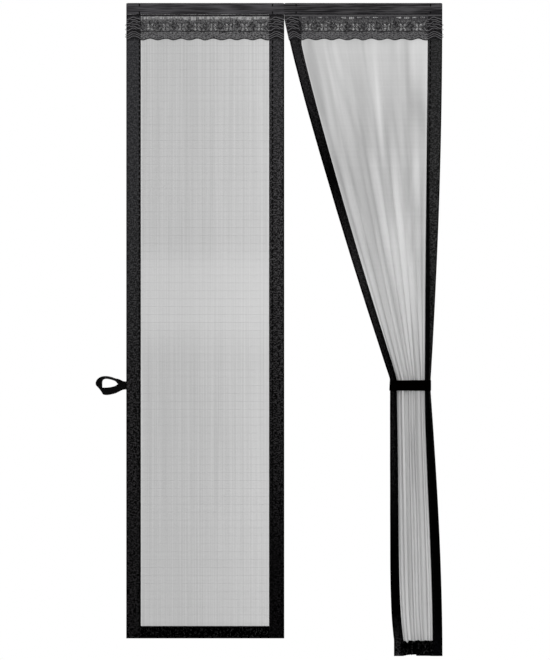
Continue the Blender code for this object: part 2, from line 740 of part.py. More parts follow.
def build():
    clear_scene()
    tape = plain_material("black woven binding tape", (0.012, 0.012, 0.013), 0.85)
    mesh = plain_material("grey polyester net", (0.52, 0.52, 0.52), 0.7)
    lace_thread = plain_material("black lace", (0.03, 0.03, 0.032), 0.8)
    ribbon = plain_material("black satin ribbon", (0.006, 0.006, 0.006), 0.5)
    ferrite = plain_material("ferrite magnet", (0.05, 0.05, 0.055), 0.6, 0.2)

    outer = tape_outline(OUTER_TAPE_WIDTH)
    inner = tape_outline(INNER_TAPE_WIDTH, pocket=True)
    header_tape("left_header_tape", LEFT_END, -LEAF_GAP / 2, tape)
    header_tape("right_header_tape", LEAF_GAP / 2, RIGHT_END, tape)
    left_outer = straight_tape("left_outer_tape", LEFT_END, 1, outer, tape)
    straight_tape("left_magnet_tape", -LEAF_GAP / 2, -1, inner, tape)
    right_outer = drawn_tape("right_outer_tape", outer_edge, -1, outer, tape)
    drawn_tape("right_magnet_tape", inner_edge, 1, inner, tape)
    left_hem(tape)
    right_hem(tape)
    left_net(mesh)
    right_net(mesh)
    lace("left_lace_valance", LEFT_END, lace_thread)
    lace("right_lace_valance", LEAF_GAP / 2, lace_thread)
    left_loop(left_outer, ribbon)
    right_loop(right_outer, ribbon)
    left_pocket = -LEAF_GAP / 2 - POCKET_END + POCKET_PLAY + MAGNET_WIDTH / 2
    for i, drop in enumerate(magnet_drops(), start=1):
        place = Matrix.Translation((left_pocket, TAPE_MIDDLE_Y, -drop))
        bar_magnet(f"left_magnet_{i:02d}", place, ferrite)
        bar_magnet(f"right_magnet_{i:02d}", pocket_place(drop), ferrite)


build()
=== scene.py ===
"""The looks of a magnetic insect screen: black woven tape, grey net, lace and ribbon.

Everything is in metres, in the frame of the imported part: the origin is at the middle of the
screen's top edge, on the headers' backs, +Z is up and the front faces -Y. "Drop" is a
distance measured down from the top edge. The left leaf hangs straight, and the right leaf
is drawn aside into a ribbon loop.
"""

import math

import bmesh
import bpy
import numpy as np
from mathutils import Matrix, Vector


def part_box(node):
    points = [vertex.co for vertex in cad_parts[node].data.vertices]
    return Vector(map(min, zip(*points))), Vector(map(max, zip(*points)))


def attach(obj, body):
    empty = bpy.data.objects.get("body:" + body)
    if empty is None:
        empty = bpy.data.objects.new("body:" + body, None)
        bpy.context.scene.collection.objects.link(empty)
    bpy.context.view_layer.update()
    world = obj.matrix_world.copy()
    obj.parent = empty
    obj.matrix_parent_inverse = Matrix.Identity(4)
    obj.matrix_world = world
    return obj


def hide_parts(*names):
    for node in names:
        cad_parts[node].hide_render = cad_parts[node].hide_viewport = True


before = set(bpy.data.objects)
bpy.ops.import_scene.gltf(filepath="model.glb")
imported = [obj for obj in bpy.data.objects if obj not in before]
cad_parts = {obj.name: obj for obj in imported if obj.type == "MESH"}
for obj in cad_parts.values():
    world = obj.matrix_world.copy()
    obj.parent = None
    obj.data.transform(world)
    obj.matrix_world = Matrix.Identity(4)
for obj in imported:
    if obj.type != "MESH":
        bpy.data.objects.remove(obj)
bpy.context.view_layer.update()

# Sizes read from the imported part
LEFT_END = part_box("left_header_tape")[0].x
RIGHT_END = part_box("right_header_tape")[1].x
HALF_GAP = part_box("right_header_tape")[0].x
HEADER_HEIGHT = -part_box("left_header_tape")[0].z
TAPE_THICKNESS = -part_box("left_outer_tape")[0].y
TAPE_TOP_DROP = -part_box("left_outer_tape")[1].z
LEFT_DROP = -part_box("left_outer_tape")[0].z
RIGHT_DROP = -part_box("right_outer_tape")[0].z
OUTER_TAPE_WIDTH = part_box("left_outer_tape")[1].x - LEFT_END
INNER_TAPE_WIDTH = -HALF_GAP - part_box("left_magnet_tape")[0].x
LEFT_HEM_DROP = -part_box("left_hem_tape")[1].z
RIGHT_HEM_DROP = RIGHT_DROP - 0.050
LOOP_DROP = -(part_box("right_tie_loop")[0].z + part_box("right_tie_loop")[1].z) / 2
RIBBON_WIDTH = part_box("right_tie_loop")[1].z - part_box("right_tie_loop")[0].z
LACE_TOP_DROP = -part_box("left_lace_valance")[1].z
LACE_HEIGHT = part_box("left_lace_valance")[1].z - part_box("left_lace_valance")[0].z
LACE_BACK_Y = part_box("left_lace_valance")[1].y
MAGNET_DROPS = [
    -(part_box(f"left_magnet_{i:02d}")[0].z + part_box(f"left_magnet_{i:02d}")[1].z) / 2
    for i in range(1, 13)
]

# How the right leaf is drawn aside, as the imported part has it
GATHERED_WIDTH = 0.1265
OUTER_PULL = 0.038
FOOT_DRAW = 0.0125
SWEEP_BOW = 1.13
PULL_BOW = 2.0
RETURN_BOW = 1.6
FOOT_BOW = 8
INNER_TURN_TOP = math.radians(45)
INNER_TURN_GRIP = math.radians(65)
INNER_TURN_FOOT = math.radians(54)
OUTER_TURN_GRIP = math.radians(67)
OUTER_TURN_FOOT = math.radians(48)
OUTER_TURN_BOW = 1.25
OUTER_UNTURN_BOW = 4
SETTLE_RUN = 0.6
TURN_RUN = 0.104
GRIP_MARGIN = 0.003
HALF_FOLDS = 9
FOLD_UNEVEN = 0.35
MOST_SWING = 2.3
FOLD_COLUMNS = 230
FINE_STEPS = 6

# The tape's section and the net's seat in it
NET_TUCK = 0.014
NET_EXIT = 0.002
SLOT = 0.0016
TAPE_WALL = 0.0009
POCKET = 0.0026
POCKET_END = 0.0149
POCKET_TAPER = 0.003
MAGNET_LENGTH = 0.050
MAGNET_BULGE = 0.0003
BULGE_EASE = 0.012
SEAM_REACH = 0.0016
OUTER_STITCH_INSET = 0.0045
INNER_STITCH_INSET = 0.0108
RIGHT_STITCH_INSET = 0.0085
STITCH_SINK = 0.0004
STITCH_PITCH = 0.0174
STITCH_LENGTH = 0.0110
STITCH_RADIUS = 0.0011

# The drop over which the hanging tapes' painted light is given, lighter at the top and
# darker to the foot, and the headers' broad ribs, drawn as painted shade in their grooves
SHADED_DROP = 2.05
HEADER_RIB_PITCH = 0.0067
FIRST_RIB_DROP = 0.0075

# Half the ribbon's thickness
RIBBON_HALF = 0.00045

# The hems: how far the left one reaches under the tapes, and where the right one dips and steps
HEM_LAP = 0.0001
HEM_DIP_X = 0.3895
HEM_STEP_X = 0.4165

# Worked out from the sizes above
MIDDLE_Y = -TAPE_THICKNESS / 2
NET_SPAN = RIGHT_END - HALF_GAP - OUTER_TAPE_WIDTH - INNER_TAPE_WIDTH
GRIP_TOP = LOOP_DROP - RIBBON_WIDTH / 2 - GRIP_MARGIN
GRIP_BOTTOM = LOOP_DROP + RIBBON_WIDTH / 2 + GRIP_MARGIN
GRIP_INNER_X = RIGHT_END - OUTER_PULL - GATHERED_WIDTH
LACE_SHARE = (LACE_TOP_DROP + LACE_HEIGHT - TAPE_TOP_DROP) / (GRIP_TOP - TAPE_TOP_DROP)

# The photograph's frame
PIXEL = 0.003165
PHOTO_SIZE = (550, 660)
PHOTO_ORIGIN = (284.3, 3)

# The floor: how far it reaches, and how far under the screen's foot it lies
FLOOR_REACH = 12.0
UNDER_FOOT = 0.020


def linear(hex_text):
    """A colour written as sRGB hex, as linear RGBA."""
    parts = [int(hex_text[i : i + 2], 16) / 255 for i in (1, 3, 5)]
    turned = [p / 12.92 if p <= 0.04045 else ((p + 0.055) / 1.055) ** 2.4 for p in parts]
    return (*turned, 1.0)


def smooth(share):
    """Eases from 0 to 1 with level ends, and stays level beyond them."""
    share = np.clip(share, 0.0, 1.0)
    return share * share * (3 - 2 * share)


def add(tree, kind, inputs=None, stops=(), **settings):
    """Adds a node with its settings. A shader node's kind goes without its "ShaderNode".

    An input is a value, another node, whose first output is meant, or one of its outputs.
    stops are the (position, sRGB hex) pairs of a colour ramp, from first to last.
    """
    full_name = kind if kind.startswith(("Geometry", "NodeGroup")) else f"ShaderNode{kind}"
    node = tree.nodes.new(full_name)
    for key, value in settings.items():
        setattr(node, key, value)
    for key, value in (inputs or {}).items():
        if isinstance(value, bpy.types.Node):
            value = value.outputs[0]
        if isinstance(value, bpy.types.NodeSocket):
            tree.links.new(value, node.inputs[key])
        else:
            node.inputs[key].default_value = value
    if stops:
        points = node.color_ramp.elements
        points[0].position, points[0].color = stops[0][0], linear(stops[0][1])
        points[1].position, points[1].color = stops[-1][0], linear(stops[-1][1])
        for position, hex_text in stops[1:-1]:
            points.new(position).color = linear(hex_text)
    return node


def new_material(name, roughness, specular=0.5):
    """A material with a Principled shader, its node tree and that shader."""
    material = bpy.data.materials.new(name)
    material.use_nodes = True
    shader = material.node_tree.nodes["Principled BSDF"]
    shader.inputs["Roughness"].default_value = roughness
    shader.inputs["Specular IOR Level"].default_value = specular
    return material, material.node_tree, shader


# Materials


def woven_tape(name, width, inset, ground, raised, fold_edge, specks_from=1.0, shade=0.0):
    """Woven polyester binding tape with a brushed face, in matt black.

    The eye reads fine cross ribs with grey specks on them, which are painted highlights of
    the tape's gloss. Its colour is painted light from the top of the screen to its foot: an
    even dark grey high up, where the light falls, and black with grey specks lower down. The
    ribs are 0.8 mm apart in life, and drawn at about 4 mm so that they show. ground and
    raised are the shades of the hollows and of the specks, from the top of the screen to its
    foot, painted lighter high up. fold_edge is where the painted shade on the rolled fold
    ends and how light that shade is. The seam is a row of black stitches that each sink the
    cloth. shade is how black the net side turns, from a fifth of the way down, where the
    tape turns that side away from the light.
    """
    material, tree, shader = new_material(name, 0.9, 0.0)
    cloth = add(tree, "UVMap", uv_map="cloth")
    along_across = add(tree, "SeparateXYZ", {0: cloth})
    along, across = along_across.outputs[0], along_across.outputs[1]
    place = add(tree, "TexCoord").outputs["Object"]
    height = add(tree, "SeparateXYZ", {0: place}).outputs[2]
    # Painted light: lighter at the top of the screen and black at the foot, by height.
    share = add(tree, "MapRange", {0: height, 1: 0.0, 2: -SHADED_DROP, 3: 0.0, 4: 1.0})
    low = add(tree, "ValToRGB", {0: share}, stops=ground)
    high = add(tree, "ValToRGB", {0: share}, stops=raised)

    ribs = add(tree, "Mapping", {0: cloth, 3: (260.0, 90.0, 1.0)})
    rib_noise = add(tree, "TexNoise", {0: ribs, 2: 1.0, 3: 3.0, 4: 0.65})
    # The grey specks on the ribs are painted highlights of the tape's gloss.
    glint_specks = add(tree, "TexNoise", {0: place, 2: 290.0, 3: 1.5, 4: 0.5})
    mixed = add(tree, "Math", {0: rib_noise, 1: glint_specks}, operation="ADD")
    relief = add(tree, "MapRange", {0: mixed, 1: specks_from, 2: specks_from + 0.055, 3: 0.0, 4: 1.0})
    face = add(tree, "Mix", {0: relief, 6: low, 7: high}, data_type="RGBA")

    # Painted shade: the colour darkens across the rolled fold edge.
    rolled, lightness = fold_edge
    fold = add(
        tree, "MapRange", {0: across, 1: rolled, 2: rolled + 0.0022, 3: lightness, 4: 1.0},
        interpolation_type="SMOOTHSTEP",
    )
    off_seam = add(tree, "Math", {0: across, 1: width - inset}, operation="SUBTRACT")
    off_seam = add(tree, "Math", {0: off_seam}, operation="ABSOLUTE")
    near_seam = add(
        tree, "MapRange", {0: off_seam, 1: 0.0013, 2: 0.0030, 3: 1.0, 4: 0.0},
        interpolation_type="SMOOTHSTEP",
    )
    turns = add(tree, "Math", {0: along, 1: 2 * math.pi / STITCH_PITCH}, operation="MULTIPLY")
    beat = add(tree, "Math", {0: turns}, operation="COSINE")
    at_stitch = add(tree, "MapRange", {0: beat, 1: -0.55, 2: -0.2, 3: 0.0, 4: 0.95})
    sunk = add(tree, "Math", {0: near_seam, 1: at_stitch}, operation="MULTIPLY")
    clear = add(tree, "Math", {0: 1.0, 1: sunk}, operation="SUBTRACT")
    lit = add(tree, "Math", {0: fold, 1: clear}, operation="MULTIPLY")
    reach = add(tree, "Math", {0: share, 1: 1.5 * width, 2: across}, operation="MULTIPLY_ADD")
    turned_off = add(
        tree, "MapRange", {0: reach, 1: 1.17 * width, 2: 1.30 * width, 3: 1.0, 4: 1.0 - shade},
        interpolation_type="SMOOTHSTEP",
    )
    lit = add(tree, "Math", {0: lit, 1: turned_off}, operation="MULTIPLY")
    colour = add(tree, "Mix", {0: lit, 6: linear("#020202"), 7: face.outputs[2]}, data_type="RGBA")
    bump = add(tree, "Bump", {"Height": relief, "Strength": 0.5, "Distance": 0.0004})
    tree.links.new(colour.outputs[2], shader.inputs["Base Color"])
    tree.links.new(bump.outputs[0], shader.inputs["Normal"])
    return material


def header_tape_cloth(name, shades, rib_groove_shade):
    """The same tape lying along the top, where its ribs run level.

    Soft grey-black streaks run along it, broken by faint cloudy wear. Its grey is the black
    tape painted lighter, as the light falls on the top of the screen. rib_groove_shade is the
    depth of painted shade in the grooves between its broad ribs, most of all next to the
    meeting edge.
    """
    material, tree, shader = new_material(name, 0.9, 0.04)
    place = add(tree, "TexCoord").outputs["Object"]
    along = add(tree, "Mapping", {0: place, 3: (16.0, 200.0, 430.0)})
    streaks = add(tree, "TexNoise", {0: along, 2: 1.0, 3: 3.0, 4: 0.6})
    cloud_place = add(tree, "Mapping", {0: place, 3: (9.0, 30.0, 120.0)})
    clouds = add(tree, "TexNoise", {0: cloud_place, 2: 1.0, 3: 3.0})
    mixed = add(tree, "Math", {0: streaks, 1: clouds}, operation="ADD")
    axes = add(tree, "SeparateXYZ", {0: place})
    # Painted shade in the grooves between the broad ribs.
    turn = 2 * math.pi / HEADER_RIB_PITCH
    start = turn * FIRST_RIB_DROP + math.pi
    turns = add(tree, "Math", {0: axes.outputs[2], 1: turn, 2: start}, operation="MULTIPLY_ADD")
    ribs = add(tree, "Math", {0: turns}, operation="COSINE")
    fade = add(
        tree, "MapRange", {0: axes.outputs[0], 1: 0.06, 2: 0.16, 3: rib_groove_shade, 4: 0.35 * rib_groove_shade}
    )
    ribbed = add(tree, "Math", {0: ribs, 1: fade, 2: mixed}, operation="MULTIPLY_ADD")
    share = add(tree, "MapRange", {0: ribbed, 1: 0.84, 2: 1.16, 3: 0.0, 4: 1.0})
    colour = add(tree, "ValToRGB", {0: share}, stops=shades)
    bump = add(tree, "Bump", {"Height": streaks, "Strength": 0.5, "Distance": 0.0004})
    tree.links.new(colour.outputs[0], shader.inputs["Base Color"])
    tree.links.new(bump.outputs[0], shader.inputs["Normal"])
    return material


def polyester_net(name, shades, lean, knit, clouding, valley_shade, paler, edges):
    """Fine polyester insect net, knitted with holes of about 1.3 mm.

    From a step away it is an even grey veil: light where one layer hangs, and darker where
    folds lie over each other, because a part of the light comes through each layer. The
    knit's faint upright lines are drawn 4 to 10 mm apart so that they show, by the weight
    knit. lean makes the far side a little lighter. clouding is the size and the weight of
    soft wisps, which on the gathered net are painted light and dark streaks of its folds.
    valley is the depth of painted shade along one long soft hollow above the ribbon. paler
    gives, down the drop, how far the grey turns towards a pale grey: on the gathered net this
    is painted light that lifts the shade of its deep folds, and on the flat net it is a
    lighter band part way down.
    edges are half the sheet's width and the strip beside each tape where the knit is closer
    and paler.
    """
    material, tree, shader = new_material(name, 0.8, 0.1)
    shader.inputs["Alpha"].default_value = 0.75
    cloth = add(tree, "UVMap", uv_map="cloth")
    down_across = add(tree, "SeparateXYZ", {0: cloth})
    down, across = down_across.outputs[0], down_across.outputs[1]
    warp = add(tree, "Mapping", {0: cloth, 3: (1.1, 170.0, 1.0)})
    lines = add(tree, "TexNoise", {0: warp, 2: 1.0, 3: 3.0, 4: 0.6})
    weft = add(tree, "Mapping", {0: cloth, 3: (120.0, 1.5, 1.0)})
    rows = add(tree, "TexNoise", {0: weft, 2: 1.0, 3: 2.0, 4: 0.5})
    # On the gathered net the wisps are painted light and dark streaks of its folds; on the flat net, a
    # faint cloudy tone.
    broad = add(tree, "Mapping", {0: cloth, 3: clouding[:3]})
    clouds = add(tree, "TexNoise", {0: broad, 2: 1.0, 3: 2.0, 4: 0.5, "Distortion": 0.6})

    base = 0.55 - 0.5 * clouding[3]
    rows = add(tree, "Math", {0: rows, 1: 0.14, 2: base}, operation="MULTIPLY_ADD")
    wisps = add(tree, "Math", {0: clouds, 1: clouding[3], 2: rows}, operation="MULTIPLY_ADD")
    weighed = add(tree, "Math", {0: lines, 1: knit, 2: 0.5 - 0.5 * knit}, operation="MULTIPLY_ADD")
    mixed = add(tree, "Math", {0: weighed, 1: wisps}, operation="ADD")
    # Painted shade along one long soft hollow between the folds above the ribbon.
    off_valley = add(tree, "Math", {0: across, 1: 0.45 * NET_SPAN}, operation="SUBTRACT")
    off_valley = add(tree, "Math", {0: off_valley}, operation="ABSOLUTE")
    beside = add(
        tree, "MapRange", {0: off_valley, 1: 0.004, 2: 0.030, 3: -valley_shade, 4: 0.0},
        interpolation_type="SMOOTHSTEP",
    )
    begins = add(
        tree, "MapRange", {0: down, 1: 0.70, 2: 1.0, 3: 0.0, 4: 1.0}, interpolation_type="SMOOTHSTEP"
    )
    mixed = add(tree, "Math", {0: beside, 1: begins, 2: mixed}, operation="MULTIPLY_ADD")
    leaning = add(tree, "MapRange", {0: across, 1: 0.38 * NET_SPAN, 2: NET_SPAN, 3: -0.06, 4: lean - 0.06})
    mixed = add(tree, "Math", {0: mixed, 1: leaning}, operation="ADD")
    share = add(tree, "MapRange", {0: mixed, 1: 0.75, 2: 1.5, 3: 0.0, 4: 1.0})
    hanging = add(tree, "ValToRGB", {0: share}, stops=shades)
    # Painted light on the gathered net: paler down the drop, against the shade of its deep folds. On the
    # flat net, a lighter band part way down.
    lower = add(tree, "MapRange", {0: down, 1: 0.0, 2: 2.0, 3: 0.0, 4: 1.0})
    lift_by_drop = add(tree, "ValToRGB", {0: lower}, stops=paler)
    half_width, strip = edges
    from_edge = add(tree, "Math", {0: across, 1: half_width}, operation="PINGPONG")
    closer = add(tree, "MapRange", {0: from_edge, 1: strip - 0.0015, 2: strip, 3: 0.4, 4: 0.0})
    pale = add(tree, "Math", {0: lift_by_drop, 1: closer}, operation="MAXIMUM")
    colour = add(tree, "Mix", {0: pale, 6: hanging, 7: linear("#e6e6e6")}, data_type="RGBA")
    bump = add(tree, "Bump", {"Height": lines, "Strength": 0.1, "Distance": 0.0005})
    tree.links.new(colour.outputs[2], shader.inputs["Base Color"])
    tree.links.new(bump.outputs[0], shader.inputs["Normal"])
    through = add(tree, "BsdfTranslucent", {0: colour.outputs[2]})
    sheer = add(tree, "MixShader", {0: 0.45, 1: shader, 2: through})
    tree.links.new(sheer.outputs[0], tree.nodes["Material Output"].inputs["Surface"])
    return material


def lace_ground(name, strip_cover, band_cover):
    """The lace's knitted ground: a soft black tulle that the light net shows through.

    strip_cover is how close it is in the strip under the header, and band_cover in the
    flowered band. Its holes are about 1 mm wide and drawn at 4 mm, uneven as in life.
    """
    material, tree, shader = new_material(name, 0.85, 0.1)
    cloth = add(tree, "UVMap", uv_map="cloth")
    down = add(tree, "SeparateXYZ", {0: cloth}).outputs[1]
    holes = add(tree, "TexVoronoi", {0: cloth, 2: 240.0})
    dense = add(tree, "TexNoise", {0: cloth, 2: 160.0, 3: 3.0, 4: 0.7})
    hole_part = add(tree, "MapRange", {0: holes, 1: 0.1, 2: 0.7, 3: -0.22, 4: 0.14})
    dense_part = add(tree, "MapRange", {0: dense, 1: 0.3, 2: 0.7, 3: -0.3, 4: 0.3})
    band = add(tree, "MapRange", {0: down, 1: 0.010, 2: 0.022, 3: strip_cover, 4: band_cover})
    cover = add(tree, "Math", {0: hole_part, 1: dense_part}, operation="ADD")
    cover = add(tree, "Math", {0: cover, 1: band}, operation="ADD", use_clamp=True)
    colour = add(tree, "ValToRGB", {0: dense}, stops=[(0.35, "#2b2a2c"), (0.65, "#100f11")])
    tree.links.new(cover.outputs[0], shader.inputs["Alpha"])
    tree.links.new(colour.outputs[0], shader.inputs["Base Color"])
    return material


def grained(name, roughness, specular, fineness, shades):
    """A dull material with a slight grain: twisted thread, or pressed and fired ferrite."""
    material, tree, shader = new_material(name, roughness, specular)
    place = add(tree, "TexCoord").outputs["Object"]
    grain = add(tree, "TexNoise", {0: place, 2: fineness, 3: 2.0})
    tint = add(tree, "ValToRGB", {0: grain}, stops=shades)
    tree.links.new(tint.outputs[0], shader.inputs["Base Color"])
    return material


def thread(name, shades):
    """Twisted thread: a dull yarn with a slight grain along it."""
    return grained(name, 0.75, 0.06, 900.0, shades)


def plain_ribbon(name, shades, gloss):
    """Plain-woven polyester ribbon: deep black, with a faint gloss on its fine cross ribs."""
    material, tree, shader = new_material(name, 0.7, gloss)
    cloth = add(tree, "UVMap", uv_map="cloth")
    ribs = add(tree, "TexWave", {0: cloth, 1: 260.0, 2: 1.0, 3: 1.0}, bands_direction="X")
    tint = add(tree, "ValToRGB", {0: ribs.outputs[1]}, stops=shades)
    bump = add(tree, "Bump", {"Height": ribs.outputs[1], "Strength": 0.3, "Distance": 0.0002})
    tree.links.new(tint.outputs[0], shader.inputs["Base Color"])
    tree.links.new(bump.outputs[0], shader.inputs["Normal"])
    return material


# How the right leaf hangs


def shares(drop):
    """How far a drop lies along the stretch above the loop, and along the one below it."""
    above = (drop - TAPE_TOP_DROP) / (GRIP_TOP - TAPE_TOP_DROP)
    below = (drop - GRIP_BOTTOM) / (RIGHT_HEM_DROP - GRIP_BOTTOM)
    return min(max(above, 0.0), 1.0), min(max(below, 0.0), 1.0)


def inner_edge(drop):
    """The right magnet tape at this drop: its fold edge's x and y, and its turn."""
    above, below = shares(drop)
    x = HALF_GAP + (GRIP_INNER_X - HALF_GAP) * above**SWEEP_BOW + FOOT_DRAW * below**FOOT_BOW
    turn = INNER_TURN_TOP * smooth((drop - TAPE_TOP_DROP) / TURN_RUN)
    turn += (INNER_TURN_GRIP - INNER_TURN_TOP) * above
    turn += (INNER_TURN_FOOT - INNER_TURN_GRIP) * below
    forward = 0.5 * smooth((above - 1.4 * LACE_SHARE) / SETTLE_RUN)
    return x, MIDDLE_Y - forward * INNER_TAPE_WIDTH * math.sin(turn), turn


def outer_edge(drop):
    """The right outer tape at this drop: its fold edge's x and y, and its turn."""
    above, below = shares(drop)
    pull = above**PULL_BOW if below == 0 else (1 - below) ** RETURN_BOW
    past_lace = max((above - LACE_SHARE) / (1 - LACE_SHARE), 0.0)
    turn = OUTER_TURN_GRIP * past_lace**OUTER_TURN_BOW
    turn += (OUTER_TURN_FOOT - OUTER_TURN_GRIP) * (1 - (1 - below) ** OUTER_UNTURN_BOW)
    x = RIGHT_END - OUTER_PULL * pull
    return x, MIDDLE_Y + 0.5 * OUTER_TAPE_WIDTH * math.sin(turn), turn


def on_tape(edge, a, b, inward):
    """A point of a turned tape's section: a from its fold edge, b towards its back."""
    x, y, turn = edge
    x += inward * a * math.cos(turn) - b * math.sin(turn)
    y += inward * a * math.sin(turn) + b * math.cos(turn)
    return x, y


def fold_line(start, end, length, drop):
    """A line of the given length, gathered in round folds between two points.

    Its direction swings as a sine along its length. Smaller folds ride on the large ones,
    and drift a little from level to level.
    """
    count = FOLD_COLUMNS * FINE_STEPS
    share = (np.arange(count) + 0.5) / count
    uneven = FOLD_UNEVEN * np.sin(2 * math.pi * share) * np.sin(5 * math.pi * share)
    swing = np.sin(math.pi * (1 + HALF_FOLDS * share) + uneven)
    settle = smooth((RIGHT_HEM_DROP - drop) / 0.12) * np.sin(math.pi * share) ** 0.5
    for waves, weight, drift in ((11.5, 0.12, 2.1), (17.0, 0.05, -3.3)):
        phase = drift * (drop / LOOP_DROP) + 0.6 * math.sin(3.1 * drift * drop)
        swing += weight * settle * np.sin(2 * math.pi * waves * share + phase)

    def run(widest):
        heading = widest * swing
        strides = np.column_stack([np.cos(heading), np.sin(heading)]) * length / count
        return np.vstack([[0, 0], np.cumsum(strides, axis=0)])

    chord = np.subtract(end, start)
    least, most = 0.0, MOST_SWING
    for _ in range(30):
        middle = (least + most) / 2
        if np.linalg.norm(run(middle)[-1]) > np.linalg.norm(chord):
            least = middle
        else:
            most = middle
    line = run(least)
    reach = line[-1]
    turn = math.atan2(chord[1], chord[0]) - math.atan2(reach[1], reach[0])
    spin = np.array([[math.cos(turn), math.sin(turn)], [-math.sin(turn), math.cos(turn)]])
    line = line @ spin * np.linalg.norm(chord) / np.linalg.norm(reach)
    return (line + start)[::FINE_STEPS]


def right_net_line(drop):
    """One level line of the right net, from inside one tape to inside the other."""
    level = min(max(drop, TAPE_TOP_DROP), RIGHT_HEM_DROP)
    inner, outer = inner_edge(level), outer_edge(level)
    tuck_in = on_tape(inner, INNER_TAPE_WIDTH - NET_TUCK, 0, 1)
    leaves = np.array(on_tape(inner, INNER_TAPE_WIDTH + NET_EXIT, 0, 1))
    enters = np.array(on_tape(outer, OUTER_TAPE_WIDTH + NET_EXIT, 0, -1))
    tuck_out = on_tape(outer, OUTER_TAPE_WIDTH - NET_TUCK, 0, -1)
    folds = fold_line(leaves, enters, NET_SPAN - 2 * NET_EXIT, drop)
    return np.vstack([[tuck_in], folds, [tuck_out]])


# Mesh makers


def linked(name, data):
    """An object made of this data, in the scene."""
    piece = bpy.data.objects.new(name, data)
    bpy.context.scene.collection.objects.link(piece)
    return piece


def sheet_mesh(name, points, faces, uvs, material):
    """A smooth mesh with a "cloth" UV, which is given for each point in metres."""
    mesh = bpy.data.meshes.new(name)
    mesh.from_pydata(points, [], faces)
    layer = mesh.uv_layers.new(name="cloth")
    corners = np.empty(len(mesh.loops), dtype=np.int32)
    mesh.loops.foreach_get("vertex_index", corners)
    layer.data.foreach_set("uv", np.asarray(uvs, float)[corners].ravel())
    mesh.shade_smooth()
    mesh.materials.append(material)
    return mesh


def face_outwards(mesh, merge=0.0):
    """Turns a mesh's faces outwards, once points closer than merge are made one."""
    made = bmesh.new()
    made.from_mesh(mesh)
    if merge:
        bmesh.ops.remove_doubles(made, verts=made.verts, dist=merge)
    bmesh.ops.recalc_face_normals(made, faces=made.faces)
    made.to_mesh(mesh)
    made.free()


def cloth_mesh(name, grid, uvs, material, closed=False, capped=False):
    """A sheet over a grid of points, rows by columns, with its UV in metres.

    closed joins the last column to the first, and capped closes the first and last rows.
    """
    grid = np.asarray(grid, float)
    rows, columns = grid.shape[:2]
    faces = []
    for r in range(rows - 1):
        for c in range(columns if closed else columns - 1):
            a, b = r * columns + c, r * columns + (c + 1) % columns
            faces.append((a, b, b + columns, a + columns))
    if capped:
        faces.append(tuple(range(columns)))
        faces.append(tuple(range((rows - 1) * columns, rows * columns)))
    uvs = np.asarray(uvs, float).reshape(-1, 2)
    mesh = sheet_mesh(name, grid.reshape(-1, 3).tolist(), faces, uvs, material)
    face_outwards(mesh)
    return linked(name, mesh)


def line_object(name, lines):
    """A mesh of loose edges, one chain for each line of points: a path for other tools."""
    points, edges = [], []
    for line in lines:
        first = len(points)
        points += [tuple(p) for p in line]
        edges += [(first + i, first + i + 1) for i in range(len(line) - 1)]
    mesh = bpy.data.meshes.new(name)
    mesh.from_pydata(points, edges, [])
    return linked(name, mesh)


def run_along(line):
    """How far along a line each of its points lies."""
    return np.concatenate([[0], np.cumsum(np.linalg.norm(np.diff(line, axis=0), axis=1))])


def dress(piece, node):
    """Binds a cloth piece to the screen: it rides, and stands for its node, which is hidden."""
    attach(piece, "root")
    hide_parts(node)
    return piece


def carry(piece):
    """Binds a piece that is sewn on or laid on: it rides."""
    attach(piece, "root")
    return piece


# Geometry Nodes


def new_tree(name, sizes):
    """A geometry node tree with a mesh in and out, a material, and named sizes."""
    tree = bpy.data.node_groups.new(name, "GeometryNodeTree")
    sockets = [("Geometry", "INPUT", "Geometry"), *((label, "INPUT", kind) for label, kind in sizes)]
    sockets += [("Material", "INPUT", "Material"), ("Geometry", "OUTPUT", "Geometry")]
    for label, way, kind in sockets:
        tree.interface.new_socket(label, in_out=way, socket_type=f"NodeSocket{kind}")
    return tree, add(tree, "NodeGroupInput")


def finish_tree(tree, given, geometry):
    """Ends a tree: what it placed is made real and takes the material."""
    real = add(tree, "GeometryNodeRealizeInstances", {0: geometry})
    paint = given.outputs["Material"]
    painted = add(tree, "GeometryNodeSetMaterial", {"Geometry": real, "Material": paint})
    add(tree, "NodeGroupOutput", {0: painted})
    return tree


def stitch_tree():
    """Lays stitches end to end along a path: short round-ended lengths of thread."""
    tree, given = new_tree(
        "stitches", [("Pitch", "Float"), ("Stitch Length", "Float"), ("Thread Radius", "Float")]
    )
    radius = given.outputs["Thread Radius"]
    path = add(tree, "GeometryNodeMeshToCurve", {0: given.outputs["Geometry"]})
    spots = add(
        tree, "GeometryNodeCurveToPoints", {"Curve": path, "Length": given.outputs["Pitch"]}, mode="LENGTH"
    )
    ball = add(tree, "GeometryNodeMeshUVSphere", {"Segments": 8, "Rings": 6, "Radius": 1.0})
    half = add(tree, "Math", {0: given.outputs["Stitch Length"], 1: 0.5}, operation="MULTIPLY")
    size = add(tree, "CombineXYZ", {0: radius, 1: radius, 2: half})
    placing = {"Points": spots, "Instance": ball, "Rotation": spots.outputs["Rotation"], "Scale": size}
    placed = add(tree, "GeometryNodeInstanceOnPoints", placing)
    return finish_tree(tree, given, placed)


def round_yarn(tree, given):
    """The given paths as round yarn with closed ends."""
    path = add(tree, "GeometryNodeMeshToCurve", {0: given.outputs["Geometry"]})
    section = {"Resolution": given.outputs["Sides"], "Radius": given.outputs["Yarn Radius"]}
    ring = add(tree, "GeometryNodeCurvePrimitiveCircle", section)
    swept = {"Curve": path, "Profile Curve": ring, "Fill Caps": True}
    return add(tree, "GeometryNodeCurveToMesh", swept)


def yarn_tree():
    """Turns a path of edges into round yarn."""
    tree, given = new_tree("yarn", [("Yarn Radius", "Float"), ("Sides", "Int")])
    return finish_tree(tree, given, round_yarn(tree, given))


